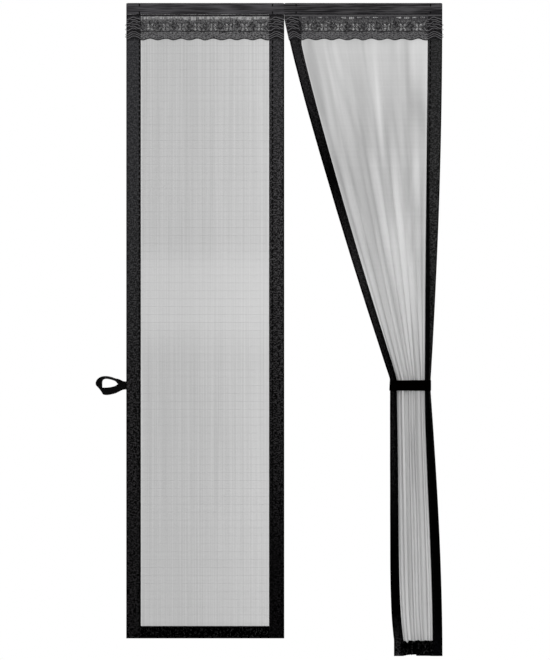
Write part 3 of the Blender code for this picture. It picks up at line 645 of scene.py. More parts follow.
def repeat_tree():
    """Repeats a motif along X, and turns its paths into round yarn."""
    tree, given = new_tree(
        "repeated motif", [("Count", "Int"), ("Pitch", "Float"), ("Yarn Radius", "Float"), ("Sides", "Int")]
    )
    step = add(tree, "CombineXYZ", {0: given.outputs["Pitch"]})
    row = add(
        tree, "GeometryNodeMeshLine", {"Count": given.outputs["Count"], "Offset": step}, mode="OFFSET"
    )
    placing = {"Points": row, "Instance": round_yarn(tree, given)}
    return finish_tree(tree, given, add(tree, "GeometryNodeInstanceOnPoints", placing))


def grown(path, tree, name, sizes, material):
    """Runs a tree on a path and returns its result as a plain mesh object."""
    modifier = path.modifiers.new(tree.name, "NODES")
    modifier.node_group = tree
    values = {**sizes, "Material": material}
    for item in tree.interface.items_tree:
        if item.in_out == "INPUT" and item.name in values:
            modifier[item.identifier] = values[item.name]
    depsgraph = bpy.context.evaluated_depsgraph_get()
    mesh = bpy.data.meshes.new_from_object(path.evaluated_get(depsgraph))
    mesh.name = name
    bpy.data.objects.remove(path, do_unlink=True)
    mesh.shade_smooth()
    return linked(name, mesh)


# Tapes


def half_thickness(a, width, stitch_inset, pocket, drop):
    """Half the folded tape's thickness at a from its fold, pinched in along the seam."""
    half = TAPE_THICKNESS / 2
    if pocket:
        deep = POCKET / 2 + TAPE_WALL
        for magnet in MAGNET_DROPS:
            near = 1 - smooth((abs(drop - magnet) - MAGNET_LENGTH / 2) / BULGE_EASE)
            deep += MAGNET_BULGE * near
        half += (deep - half) * (1 - smooth((a - POCKET_END + 0.001) / (POCKET_TAPER + 0.002)))
    half -= STITCH_SINK * math.exp(-(((a - width + stitch_inset) / SEAM_REACH) ** 2))
    if a < half:
        half *= math.sqrt(max(1 - (1 - a / half) ** 2, 0.0))
    return half


def tape_section(width, stitch_inset, pocket, drop):
    """The folded tape's outline at one drop, as (a, b) points."""
    fold = [0.0, 0.0004, 0.0011, 0.0020]
    body = list(np.linspace(0.0038, width - stitch_inset - 0.004, 9))
    seam = [width - stitch_inset + d for d in (-0.002, -0.0008, 0.0008, 0.002)]
    steps = fold + body + seam + [width - 0.0006, width]
    outer = [(a, half_thickness(a, width, stitch_inset, pocket, drop)) for a in steps]
    room = POCKET / 2 if pocket else SLOT / 2
    inner = [(width, SLOT / 2), (width - NET_TUCK, SLOT / 2)]
    if pocket:
        inner += [(POCKET_END + POCKET_TAPER, SLOT / 2), (POCKET_END, room)]
    inner += [(TAPE_WALL + 0.4 * room, room), (TAPE_WALL, 0.4 * room)]
    front = [(a, -b) for a, b in outer[::-1]]
    return front + outer[1:] + inner + [(a, -b) for a, b in inner[::-1]]


def levels(top, bottom, step):
    """Evenly spaced drops from top to bottom, about a step apart."""
    return np.linspace(top, bottom, max(int(round((bottom - top) / step)), 1) + 1)


def hung_tape(name, place, width, stitch_inset, pocket, bottom, material):
    """A tape from the header down. place(drop, a, b) gives a section point's x and y."""
    drops = levels(HEADER_HEIGHT, bottom, 0.010)
    run = run_along([(*place(drop, width - stitch_inset, 0.0), -drop) for drop in drops])
    grid, uvs = [], []
    for drop, along in zip(drops, run):
        ring = tape_section(width, stitch_inset, pocket, drop)
        sway = 0.0004 * math.sin(9.0 * drop) * math.sin(2.3 * drop)
        grid.append([(*place(drop, a, b + sway), -drop) for a, b in ring])
        uvs.append([(along, a) for a, _ in ring])
    piece = cloth_mesh(f"{name}_band", grid, uvs, material, closed=True, capped=True)
    dress(piece, f"{name}_tape")


# Where a point of each hanging tape's section lies at a drop: a from its fold edge, and b
# towards its back


def on_left_outer(drop, a, b):
    return LEFT_END + a, MIDDLE_Y + b


def on_left_inner(drop, a, b):
    return -HALF_GAP - a, MIDDLE_Y + b


def on_right_outer(drop, a, b):
    return on_tape(outer_edge(min(drop, RIGHT_HEM_DROP)), a, b, -1)


def on_right_inner(drop, a, b):
    return on_tape(inner_edge(min(drop, RIGHT_HEM_DROP)), a, b, 1)


# Each hanging tape: its name, where a point of its section lies, its width, how far its seam is
# from its open edge, whether it has pockets, and its foot
TAPES = (
    ("left_outer", on_left_outer, OUTER_TAPE_WIDTH, OUTER_STITCH_INSET, False, LEFT_DROP),
    ("left_magnet", on_left_inner, INNER_TAPE_WIDTH, INNER_STITCH_INSET, True, LEFT_DROP),
    ("right_outer", on_right_outer, OUTER_TAPE_WIDTH, RIGHT_STITCH_INSET, False, RIGHT_DROP),
    ("right_magnet", on_right_inner, INNER_TAPE_WIDTH, INNER_STITCH_INSET, True, RIGHT_DROP),
)


def header(side, x0, x1, ribs, groove, material):
    """The top tape: folded over the net's top edge, with level ribs on both faces."""
    half, slot = TAPE_THICKNESS / 2, SLOT / 2
    pitch = (HEADER_HEIGHT - 0.0014) / ribs
    front = [(-0.5 * half, 0.0)]
    for i in range(ribs):
        top = -0.0008 - i * pitch
        front += [(-half, top - 0.2 * pitch), (-half, top - 0.7 * pitch)]
        front.append((-half + groove, top - 0.95 * pitch))
    front[-1] = (-half, -HEADER_HEIGHT)
    inside = [(-slot, -HEADER_HEIGHT), (-slot, -TAPE_WALL), (slot, -TAPE_WALL), (slot, -HEADER_HEIGHT)]
    ring = front + inside + [(-y, z) for y, z in front[::-1]]
    grid, uvs = [], []
    inner = np.linspace(x0 + 0.006, x1 - 0.006, 57)
    for x in (x0, x0 + 0.0008, x0 + 0.0025, *inner, x1 - 0.0025, x1 - 0.0008, x1):
        near = min(min(x - x0, x1 - x) / 0.005, 1)
        lower = 0.0030 * (1 - math.sqrt(max(1 - (1 - near) ** 2, 0.0)))
        wave = 0.00025 * math.sin(61 * x) + 0.0002 * math.sin(23 * x + 1)
        row = []
        for y, z in ring:
            depth = -z / HEADER_HEIGHT
            row.append((x, MIDDLE_Y + y, z - lower * (1 - depth) + wave * depth))
        grid.append(row)
        uvs.append([(x, -z) for _, z in ring])
    piece = cloth_mesh(f"{side}_header", grid, uvs, material, closed=True, capped=True)
    dress(piece, f"{side}_header_tape")


def hem(side, line, top_of, bottom_of, material):
    """The bottom tape, folded under the net's edge along a level line of points."""
    line = np.asarray(line, float)
    half, slot = TAPE_THICKNESS / 2, SLOT / 2
    wall = [(share, half) for share in (0, 0.25, 0.5, 0.75, 0.93)]
    wall += [(0.985, 0.75 * half), (1.0, 0.35 * half)]
    shape = [(share, -b) for share, b in wall] + wall[::-1]
    shape += [(0, slot), (0.96, slot), (0.96, -slot), (0, -slot)]
    walls = {b: offset_line(line, b) for _, b in shape}
    run = run_along(line)
    grid, uvs = [], []
    for i, along in enumerate(run):
        top, bottom = top_of(along / run[-1]), bottom_of(along / run[-1])
        grid.append([(*walls[b][i], -(top + share * (bottom - top))) for share, b in shape])
        uvs.append([(along, (bottom - top) * (1 - share)) for share, _ in shape])
    piece = cloth_mesh(f"{side}_hem", grid, uvs, material, closed=True, capped=True)
    flat = (2 * (bottom_of(0) - top_of(0)), float(run[-1]))
    dress(piece, f"{side}_hem_tape")


def offset_line(line, distance):
    """A flat line moved sideways; a positive distance is to its left."""
    along = np.gradient(line, axis=0)
    along /= np.linalg.norm(along, axis=1)[:, None]
    return line + np.column_stack([-along[:, 1], along[:, 0]]) * distance


# Nets


def left_ripple(x, drop):
    """How far the flat net stands off its plane: a faint ripple that dies at its edges."""
    left, right = LEFT_END + OUTER_TAPE_WIDTH, -HALF_GAP - INNER_TAPE_WIDTH
    calm = smooth((drop - HEADER_HEIGHT) / 0.06) * smooth((LEFT_HEM_DROP - drop) / 0.06)
    calm *= smooth((x - left) / 0.05) * smooth((right - x) / 0.05)
    wave = 0.0011 * math.sin(31 * x + 1.4 * drop) + 0.0006 * math.sin(77 * x - 2.2 * drop)
    return float(wave * calm)


def left_net(material):
    """The flat net: a single sheet that hangs with the faintest ripple between its tapes."""
    x0 = LEFT_END + OUTER_TAPE_WIDTH - NET_TUCK
    x1 = -HALF_GAP - INNER_TAPE_WIDTH + NET_TUCK
    top, bottom = HEADER_HEIGHT - NET_TUCK, LEFT_HEM_DROP + NET_TUCK
    columns = np.linspace(x0, x1, 60)
    grid, uvs = [], []
    for drop in levels(top, bottom, 0.016):
        grid.append([(x, MIDDLE_Y + left_ripple(x, drop), -drop) for x in columns])
        uvs.append([(drop, x - x0) for x in columns])
    piece = cloth_mesh("left_net", grid, uvs, material)
    dress(piece, "left_net_panel")


def right_net(material):
    """The gathered net: every level line is as long as the flat net is wide."""
    top, bottom = HEADER_HEIGHT - NET_TUCK, RIGHT_HEM_DROP + NET_TUCK
    grid, uvs = [], []
    for drop in (top, *levels(TAPE_TOP_DROP, RIGHT_HEM_DROP, 0.0125), bottom):
        line = right_net_line(drop)
        grid.append([(x, y, -drop) for x, y in line])
        uvs.append([(drop, NET_SPAN * i / (len(line) - 1)) for i in range(len(line))])
    piece = cloth_mesh("right_net", grid, uvs, material)
    dress(piece, "right_net_panel")


def left_threads(tree, material):
    """The flat net's heavier threads, a few of the many: upright 5 mm, and level 25 mm apart."""
    x0 = LEFT_END + OUTER_TAPE_WIDTH
    x1 = -HALF_GAP - INNER_TAPE_WIDTH

    def on_net(x, drop):
        return x, MIDDLE_Y + left_ripple(x, drop) - 0.0002, -drop

    upright = [
        [on_net(x, drop) for drop in levels(HEADER_HEIGHT, LEFT_HEM_DROP, 0.08)]
        for x in levels(x0 + 0.005, x1 - 0.005, 0.0051)
    ]
    level = [
        [on_net(x, drop) for x in np.linspace(x0, x1, 45)]
        for drop in levels(0.060, LEFT_HEM_DROP - 0.010, 0.025)
    ]
    paths = line_object("left_net_threads_paths", upright + level)
    sizes = {"Yarn Radius": 0.00028, "Sides": 3}
    carry(grown(paths, tree, "left_net_threads", sizes, material))


# Lace

LACE_REPEAT = (RIGHT_END - HALF_GAP) / 10
LACE_LENGTH = 10 * LACE_REPEAT
SCALLOP = 0.0052
LADDER_TOP = 0.0105
LADDER_EDGE = 0.005
FLOWER_DOWN = 0.0430
PETAL_START = 0.0022


def lace_foot(u):
    """The lace's height at u along it: scallops that arch over each repeat's middle."""
    rise = 0.5 - 0.5 * math.cos(2 * math.pi * u / LACE_REPEAT)
    return LACE_HEIGHT + 0.0012 - SCALLOP * rise


def lace_forward(u, v):
    """How far the lace stands forward of its back plane: it ripples towards its free edge."""
    free = smooth((v - 0.006) / (LACE_HEIGHT - 0.006))
    wave = 0.5 + 0.5 * math.sin(2 * math.pi * u / 0.137 + 0.8)
    small = 0.5 + 0.5 * math.sin(2 * math.pi * u / 0.041 + 2.0 + 9 * v)
    return float(0.0004 + free * (0.0022 * wave + 0.0010 * small))


def in_petal(u, v):
    """Whether a point lies in one of the four open petals of its repeat's flower."""
    du = (u % LACE_REPEAT) - LACE_REPEAT / 2
    dv = v - FLOWER_DOWN
    for quarter in range(4):
        turn = math.radians(45 + 90 * quarter)
        r = du * math.cos(turn) + dv * math.sin(turn)
        s = -du * math.sin(turn) + dv * math.cos(turn)
        share = (r - PETAL_START) / 0.0115
        if 0 < share < 1 and abs(s) < 0.0029 * math.sin(math.pi * share) ** 0.7:
            return True
    return False


def lace_x(x0, u, v):
    """Where the lace's point u, v lies: the right one's free end follows the turning tape."""
    if x0 < 0:
        return x0 + u
    draw = max(inner_edge(LACE_TOP_DROP + v)[0] - HALF_GAP - 0.0024, 0.0)
    return x0 + u + draw * max(1 - u / 0.07, 0.0)


def lace_sheet(name, x0, ladder_foot, material):
    """The lace's ground, with its ladder holes and petals open and its foot scalloped."""
    across, fixed, extra = 400, 37, 14
    step = LACE_LENGTH / across
    level_part = fixed * 0.0015
    points, uvs = [], []
    for r in range(fixed + 1 + extra):
        for c in range(across + 1):
            u = c * step
            v = r * 0.0015
            if r > fixed:
                v = level_part + (lace_foot(u) - level_part) * (r - fixed) / extra
            points.append((lace_x(x0, u, v), LACE_BACK_Y - lace_forward(u, v), -LACE_TOP_DROP - v))
            uvs.append((u, v))
    columns = across + 1
    faces = []
    for r in range(fixed + extra):
        for c in range(across):
            here = r * columns + c
            u = (c + 0.5) * step
            v = (uvs[here][1] + uvs[here + columns][1]) / 2
            in_half = u % (LACE_REPEAT / 2)
            foot = ladder_foot + 0.0045 * math.sin(53 * u) * math.sin(19 * u + 1)
            ladder = LADDER_TOP < v < foot and LADDER_EDGE < in_half < LACE_REPEAT / 2 - LADDER_EDGE
            if not ladder and not in_petal(u, v):
                faces.append((here, here + columns, here + columns + 1, here + 1))
    return linked(name, sheet_mesh(name, points, faces, uvs, material))


def level_yarns(heights):
    """One repeat of yarns that run level at these heights."""
    return [
        [(LACE_REPEAT * i / 10, v + 0.0003 * math.sin(2.1 * i)) for i in range(11)] for v in heights
    ]


def fine_motif(bars, lattice):
    """One repeat of the lace's fine yarns, as lines of (u, v): bars, ticks and curls.

    lattice crosses the lower band with slanting yarns in place of plain ticks.
    """
    lines = []
    for i in range(bars):
        u = LACE_REPEAT * (i + 0.5 + 0.35 * math.sin(7 * i)) / bars
        lines.append([(u, 0.0080), (u + 0.0012 * math.sin(5 * i), 0.0140), (u, 0.0225)])
    for i in range(11):
        u = LACE_REPEAT * (i + 0.5 + 0.4 * math.sin(5 * i + 1)) / 11
        bow = 0.0022 * math.sin(3 * i)
        lines.append([(u, 0.0215), (u + bow, 0.0300), (u - bow, 0.0420), (u, 0.0540)])
    for i in range(9):
        u = LACE_REPEAT * (i + 0.5) / 9
        for lean in (-1, 1) if lattice else (0.25 * math.sin(4 * i),):
            lines.append([(u + lean * 0.022 * j / 4, 0.0555 + 0.022 * j / 4) for j in range(5)])
    for side in (-1, 1):
        for reach, rise in ((0.0060, 0.0275), (0.0105, 0.0330), (0.0080, 0.0440)):
            curl = []
            for i in range(9):
                turn, shrink = 1.5 * math.pi * i / 8, 1 - 0.06 * i
                u = LACE_REPEAT / 2 + side * (reach + 0.0042 * shrink * math.cos(turn))
                curl.append((u, rise + 0.0048 * shrink * math.sin(turn)))
            lines.append(curl)
    return lines


def ridge_motif():
    """One repeat of the raised ridges that follow the scallops, one above the other."""
    lines = []
    for lift in (0.0062, 0.0130, 0.0198):
        arc = []
        for i in range(17):
            u = LACE_REPEAT * i / 16
            arc.append((u, lace_foot(u) - lift + 0.0022 * math.cos(2 * math.pi * u / LACE_REPEAT)))
        lines.append(arc)
    return lines


def tape_ridges(first_drop):
    """The upper band's waves over the two tapes: every other one pale, with black between."""
    lines = []
    for first, last in (
        (0.0008, OUTER_TAPE_WIDTH), (LACE_LENGTH - INNER_TAPE_WIDTH, LACE_LENGTH - 0.0008)
    ):
        for k in range(6):
            wave = []
            for i in range(25):
                u = first + (last - first) * i / 24
                turn = 2 * math.pi * (u - first) / (last - first)
                swing = 0.0030 * math.cos(turn + 0.7 * math.sin(2.0 * k))
                swing += 0.0012 * math.sin(2 * turn + 2.4 * k)
                wave.append((u, first_drop + 0.0069 * k + swing))
            lines.append(wave)
    return lines


def about_flower(turn, r, side):
    """The point at r along a ray from the flower's middle, and side to the left of it."""
    u = LACE_REPEAT / 2 + r * math.cos(turn) - side * math.sin(turn)
    return u, FLOWER_DOWN - 0.004 + r * math.sin(turn) + side * math.cos(turn)


def gimp_motif():
    """One repeat of the lace's heavy yarns: blossoms, buds, headline and edge."""
    lines = level_yarns((0.0552, 0.0566))
    for quarter in range(4):
        turn = math.radians(45 + 90 * quarter)
        petal = []
        for i in range(15):
            angle = 2 * math.pi * i / 14
            r = PETAL_START + 0.0125 * (1 - math.cos(angle)) / 2
            side = 0.0042 * math.sin(angle) * abs(math.sin(angle / 2)) ** 0.3
            petal.append(about_flower(turn, r, side))
        turn -= math.radians(45)
        spoke = [
            about_flower(turn, 0.0015 + 0.0100 * i / 4, 0.0015 * math.sin(math.pi * i / 4))
            for i in range(5)
        ]
        lines += [petal, spoke]
    buds = ((0.0020, 0.0250, 0.0270), (0.0058, 0.0270, 0.0230), (0.0095, 0.0330, 0.0120))
    for side in (-1, 1):
        for lean, top, tall in buds:
            bud = []
            for i in range(9):
                share = i / 8
                sweep = lean * (math.sin(math.pi * share) ** 0.7 + 0.25 * math.sin(5 * math.pi * share))
                bud.append((LACE_REPEAT / 2 + side * (LACE_REPEAT / 2 - sweep), top + tall * share))
            lines.append(bud)
    for lift in (0.0008, 0.0024):
        lines.append([(LACE_REPEAT * i / 20, lace_foot(LACE_REPEAT * i / 20) - lift) for i in range(21)])
    return lines


def picots(x0):
    """The lace's free end: an overcast edge with small yarn loops standing out from it."""
    lines = [[(LACE_LENGTH - inset, 0.004 * i) for i in range(20)] for inset in (0.0006, 0.0018)]
    for v in (0.036, 0.050, 0.066, 0.0735):
        angles = [math.pi * (i / 8 - 0.5) for i in range(9)]
        lines.append([(LACE_LENGTH + 0.0028 * math.cos(a), v + 0.0022 * math.sin(a)) for a in angles])
    mirrored = [[(LACE_LENGTH - u, v) for u, v in line] for line in lines]
    return mirrored if x0 < 0 else lines + mirrored[:2]


def laid_yarns(name, x0, motif, radius, count, repeater, material, margin=-0.004):
    """A motif's yarns, repeated along the lace, trimmed at its ends and laid on its face.

    Each yarn wanders by up to 2 mm, so no two repeats look quite the same. margin is how
    far from the lace's ends the yarns stop.
    """
    path = line_object(f"{name}_path", [[(u, 0.0, -v) for u, v in line] for line in motif])
    sizes = {"Count": count, "Pitch": LACE_REPEAT, "Yarn Radius": radius, "Sides": 5}
    yarns = grown(path, repeater, name, sizes, material)
    made = bmesh.new()
    made.from_mesh(yarns.data)
    outside = [vert for vert in made.verts if not margin < vert.co.x < LACE_LENGTH - margin]
    bmesh.ops.delete(made, geom=outside, context="VERTS")
    for vert in made.verts:
        u, y, v = vert.co.x, vert.co.y, -vert.co.z
        if count > 1:
            u = min(max(u, 0.0), LACE_LENGTH)
        wander = 0.0016 * math.sin(71 * u + 60 * v) + 0.0009 * math.sin(233 * u - 190 * v)
        rise = 0.0006 * math.sin(97 * u + 40) * math.sin(math.pi * min(v / 0.02, 1) / 2)
        forward = lace_forward(min(max(u, 0.0), LACE_LENGTH), v)
        x = lace_x(x0, u + wander * (0.002 < u < LACE_LENGTH - 0.002), v)
        vert.co = (x, LACE_BACK_Y - forward + 0.8 * y, -LACE_TOP_DROP - v - rise)
    made.to_mesh(yarns.data)
    made.free()
    return carry(yarns)


def lace(side, x0, bars, ladder_foot, ground, yarns, repeater):
    """One lace valance: its ground, with fine and heavy yarns laid on the front."""
    sheet = lace_sheet(f"{side}_lace", x0, ladder_foot, ground)
    # On the left the footing rows are laid in the black heavy yarn, a painted shadow below the header's
    # lower edge; on the right they are fine grey yarn.
    footing = level_yarns((0.0042, 0.0053, 0.0064, 0.0074))
    jobs = (
        ("fine_yarns", fine_motif(bars, x0 > 0), 0.0005, 10, "fine", 0.047),
        ("ridges", ridge_motif(), 0.0010, 10, "pale"),
        ("tape_ridges", tape_ridges(0.0150), 0.0013, 1, "pale"),
        ("tape_hollows", tape_ridges(0.0184), 0.0017, 1, "gimp"),
        ("footing", footing, 0.0006, 10, "gimp" if x0 < 0 else "fine"),
        ("heavy_yarns", gimp_motif(), 0.0007, 10, "gimp"),
        ("picots", picots(x0), 0.0006, 1, "gimp"),
    )
    pieces = [
        laid_yarns(f"{side}_lace_{name}", x0, motif, radius, count, repeater, yarns[kind], *margin)
        for name, motif, radius, count, kind, *margin in jobs
    ]
    dress(sheet, f"{side}_lace_valance")


# Ribbon loops


def ribbon(side, centres, widths, closed, material):
    """A flat ribbon along a line of centres, with a width vector at each of them."""
    centres, widths = np.array(centres), np.array(widths)
    if closed:
        along = np.roll(centres, -1, axis=0) - np.roll(centres, 1, axis=0)
    else:
        along = np.gradient(centres, axis=0)
    out = np.cross(along, widths)
    out /= np.linalg.norm(out, axis=1)[:, None]
    run = run_along(centres)
    last_step = run[-1] - run[-2] if closed else 0
    grid, uvs = [], []
    for i, centre in enumerate(centres):
        ring, ring_uv = [], []
        for face in (1, -1):
            for share in np.linspace(-0.5, 0.5, 9) * face:
                edge = RIBBON_HALF * (1 - 0.4 * abs(2 * share) ** 6)
                ring.append(tuple(centre + widths[i] * share + out[i] * face * edge))
                ring_uv.append((run[i], share * RIBBON_WIDTH))
        grid.append(ring)
        uvs.append(ring_uv)
    if closed:
        grid.append(grid[0])
        uvs.append([(run[-1] + last_step, v) for _, v in uvs[0]])
    piece = cloth_mesh(f"{side}_loop", grid, uvs, material, closed=True, capped=not closed)
    if closed:
        face_outwards(piece.data, merge=0.00001)
    dress(piece, f"{side}_tie_loop")


def left_loop(material):
    """The free loop: it stands out from the outer tape, twists and lies half open.

    At its far end the ribbon turns over a little, so its face shows there too.
    """
    reach_out, spread_out, neck = 0.097, 0.034, 0.006
    low_tilt, high_tilt, twist_run = math.radians(45), math.radians(75), 0.035
    root_width, tab = 0.026, 0.020
    centres, widths = [], []
    steps = 110
    for i in range(steps + 1):
        share = i / steps
        reach = reach_out * (1 - math.cos(2 * math.pi * share)) / 2
        spread = -spread_out * math.sin(2 * math.pi * share) * math.sqrt(reach / reach_out)
        settled = float(smooth(reach / twist_run))
        tilt = (low_tilt + (high_tilt - low_tilt) * float(smooth((share - 0.3) / 0.4))) * settled
        spread += (-1 if share < 0.5 else 1) * 0.0004 * (1 - settled)
        width = root_width + (RIBBON_WIDTH - root_width) * settled
        turned = math.radians(40) * math.exp(-(((share - 0.5) / 0.13) ** 2))
        flat, aside = width * math.cos(turned), width * math.sin(turned)
        x = LEFT_END - neck / 2 - reach * (1 - neck / 2 / reach_out) + aside / 2
        centres.append((x, MIDDLE_Y + spread * math.cos(tilt), -LOOP_DROP + spread * math.sin(tilt)))
        widths.append((-aside, -flat * math.sin(tilt), flat * math.cos(tilt)))
    (x0, *start), (x1, *end) = centres[0], centres[-1]
    tab_in = [(x0 + tab * s, *start) for s in (1.0, 0.6, 0.25)]
    tab_out = [(x1 + tab * s, *end) for s in (0.25, 0.6, 1.0)]
    centres = tab_in + centres + tab_out
    widths = [widths[0]] * 3 + widths + [widths[-1]] * 3
    ribbon("left", centres, widths, False, material)


def right_loop(material):
    """The loop in use: drawn tight round the gathered leaf."""
    ring = tape_section(INNER_TAPE_WIDTH, INNER_STITCH_INSET, True, LOOP_DROP)
    inside = [on_right_inner(LOOP_DROP, a, b) for a, b in ring]
    ring = tape_section(OUTER_TAPE_WIDTH, OUTER_STITCH_INSET, False, LOOP_DROP)
    inside += [on_right_outer(LOOP_DROP, a, b) for a, b in ring]
    for drop in levels(GRIP_TOP, GRIP_BOTTOM, 0.006):
        inside += [tuple(p) for p in right_net_line(drop)]
    inside = np.array(inside)
    centres, widths = [], []
    for i in range(120):
        turn = 2 * math.pi * (i + 0.5) / 120
        out = np.array([math.cos(turn), math.sin(turn)])
        x, y = inside[np.argmax(inside @ out)] + 0.0011 * out
        centres.append((x, y, -LOOP_DROP))
        lean = 0.0015 if x < GRIP_INNER_X + 0.02 else 0.0
        widths.append((lean, 0.0, RIBBON_WIDTH * (1 - 0.03 * math.sin(40 * x))))
    ribbon("right", centres, widths, True, material)


# Stitches


def stitch_lines():
    """The paths of the seams: down both faces of each tape, over the headers and the hems."""
    lines = []
    for _, place, width, inset, pocket, bottom in TAPES:
        a = width - inset
        for side in (-1, 1):
            line = []
            for drop in levels(TAPE_TOP_DROP, bottom - 0.006, 0.010):
                b = side * half_thickness(a, width, inset, pocket, drop)
                line.append((*place(drop, a, b), -drop))
            lines.append(line)
            y = MIDDLE_Y + side * TAPE_THICKNESS / 2
            x = place(TAPE_TOP_DROP, a, 0)[0]
            for beside in (-0.0008, 0.0008):
                down = levels(0.006, HEADER_HEIGHT - 0.005, 0.008)
                lines.append([(x + beside, y, -drop) for drop in down])
    return lines


# Stage


def set_stage():
    """A plain pale floor, a white surround and soft studio light, with the camera square on."""
    scene = bpy.context.scene
    scene.view_settings.view_transform = "Standard"

    scene.world = bpy.data.worlds.new("white studio")
    scene.world.use_nodes = True
    tree = scene.world.node_tree
    tree.nodes.clear()
    path = add(tree, "LightPath").outputs
    seen = add(tree, "Math", {0: path["Is Camera Ray"], 1: path["Is Glossy Ray"]}, operation="MAXIMUM")
    seen = add(tree, "Math", {0: seen, 1: path["Is Transmission Ray"]}, operation="MAXIMUM")
    light = add(tree, "Background", {0: (1.0, 1.0, 1.0, 1.0), 1: 0.74})
    white = add(tree, "Background", {0: (1.0, 1.0, 1.0, 1.0), 1: 1.0})
    both = add(tree, "MixShader", {0: seen, 1: light, 2: white})
    add(tree, "OutputWorld", {0: both})

    mesh = bpy.data.meshes.new("floor")
    z, reach = -RIGHT_DROP - UNDER_FOOT, FLOOR_REACH
    corners = [(-reach, -reach, z), (reach, -reach, z), (reach, reach, z), (-reach, reach, z)]
    mesh.from_pydata(corners, [], [(0, 1, 2, 3)])
    paint, _, shader = new_material("pale matt floor", 0.9)
    shader.inputs["Base Color"].default_value = linear("#f2f2f2")
    mesh.materials.append(paint)
    linked("floor", mesh)

    middle = Vector((0.0, 0.0, -1.0))
    lamps = (
        ("key", (-2.4, -3.6, 0.5), (2.6, 2.2), 46.0),
        ("fill", (2.8, -3.6, -0.6), (2.2, 2.4), 14.0),
        ("back", (0.5, 3.6, 0.2), (2.4, 2.0), 24.0),
    )
    for name, place, extent, power in lamps:
        lamp = bpy.data.lights.new(name, "AREA")
        lamp.shape = "RECTANGLE"
        lamp.size, lamp.size_y = extent
        lamp.energy = power
        holder = linked(name, lamp)
        holder.location = place
        holder.rotation_euler = (middle - Vector(place)).to_track_quat("-Z", "Y").to_euler()

    camera = bpy.data.cameras.new("camera")
    camera.type = "ORTHO"
    camera.ortho_scale = PHOTO_SIZE[1] * PIXEL
    scene.camera = linked("camera", camera)
    x = (PHOTO_SIZE[0] / 2 - PHOTO_ORIGIN[0]) * PIXEL
    z = -(PHOTO_SIZE[1] / 2 - PHOTO_ORIGIN[1]) * PIXEL
    scene.camera.location = (x, -6.0, z)
    scene.camera.rotation_euler = (math.radians(90), 0.0, 0.0)


# What each tape's face looks like: its ground and its specks from the top to the foot, with
# painted light that makes them lighter high up and painted highlights in the specks, where the
# painted shade on its rolled fold ends and how light that is, and how black its net side turns
# in painted shade
TAPE_LOOKS = {
    "left_outer": (
        "left side",
        [(0.05, "#2b2b2d"), (0.35, "#1e1e1f"), (0.62, "#040404"), (1.0, "#000000")],
        [(0.05, "#424244"), (0.35, "#3d3d3e"), (0.62, "#323132"), (0.85, "#2a292a"), (1.0, "#212021")],
        (0.0018, 0.55),
        0.0,
    ),
    "left_magnet": (
        "left meeting edge",
        [(0.05, "#2b2b2c"), (0.30, "#121112"), (0.60, "#030303"), (1.0, "#000000")],
        [(0.05, "#464547"), (0.35, "#464546"), (0.62, "#313031"), (0.86, "#1a191a"), (1.0, "#131213")],
        (0.0034, 0.08),
        0.0,
    ),
    "right_outer": (
        "right side",
        [(0.05, "#232323"), (0.25, "#1c1c1c"), (0.45, "#060606"), (1.0, "#000000")],
        # The last raised stop is a painted highlight at this tape's foot.
        [
            (0.05, "#3a3a3b"), (0.38, "#3c3c3c"), (0.60, "#262626"),
            (0.82, "#060606"), (0.955, "#060607"), (1.0, "#3a3a42"),
        ],
        (0.0026, 0.2),
        0.9,
    ),
    "right_magnet": (
        "right meeting edge",
        # This tape's light and dark bands down the drop are painted light and shade where it turns, and its
        # last raised stop is a painted highlight at its foot.
        [
            (0.05, "#252526"), (0.20, "#030303"), (0.33, "#020202"),
            (0.43, "#191919"), (0.56, "#020202"), (1.0, "#000000"),
        ],
        [
            (0.05, "#3b3a3b"), (0.16, "#2e2d2e"), (0.27, "#0b0a0b"), (0.41, "#3c3b3c"), (0.56, "#201f20"),
            (0.66, "#2a292a"), (0.84, "#040404"), (0.945, "#050505"), (1.0, "#444345"),
        ],
        (0.0030, 0.05),
        0.0,
    ),
}


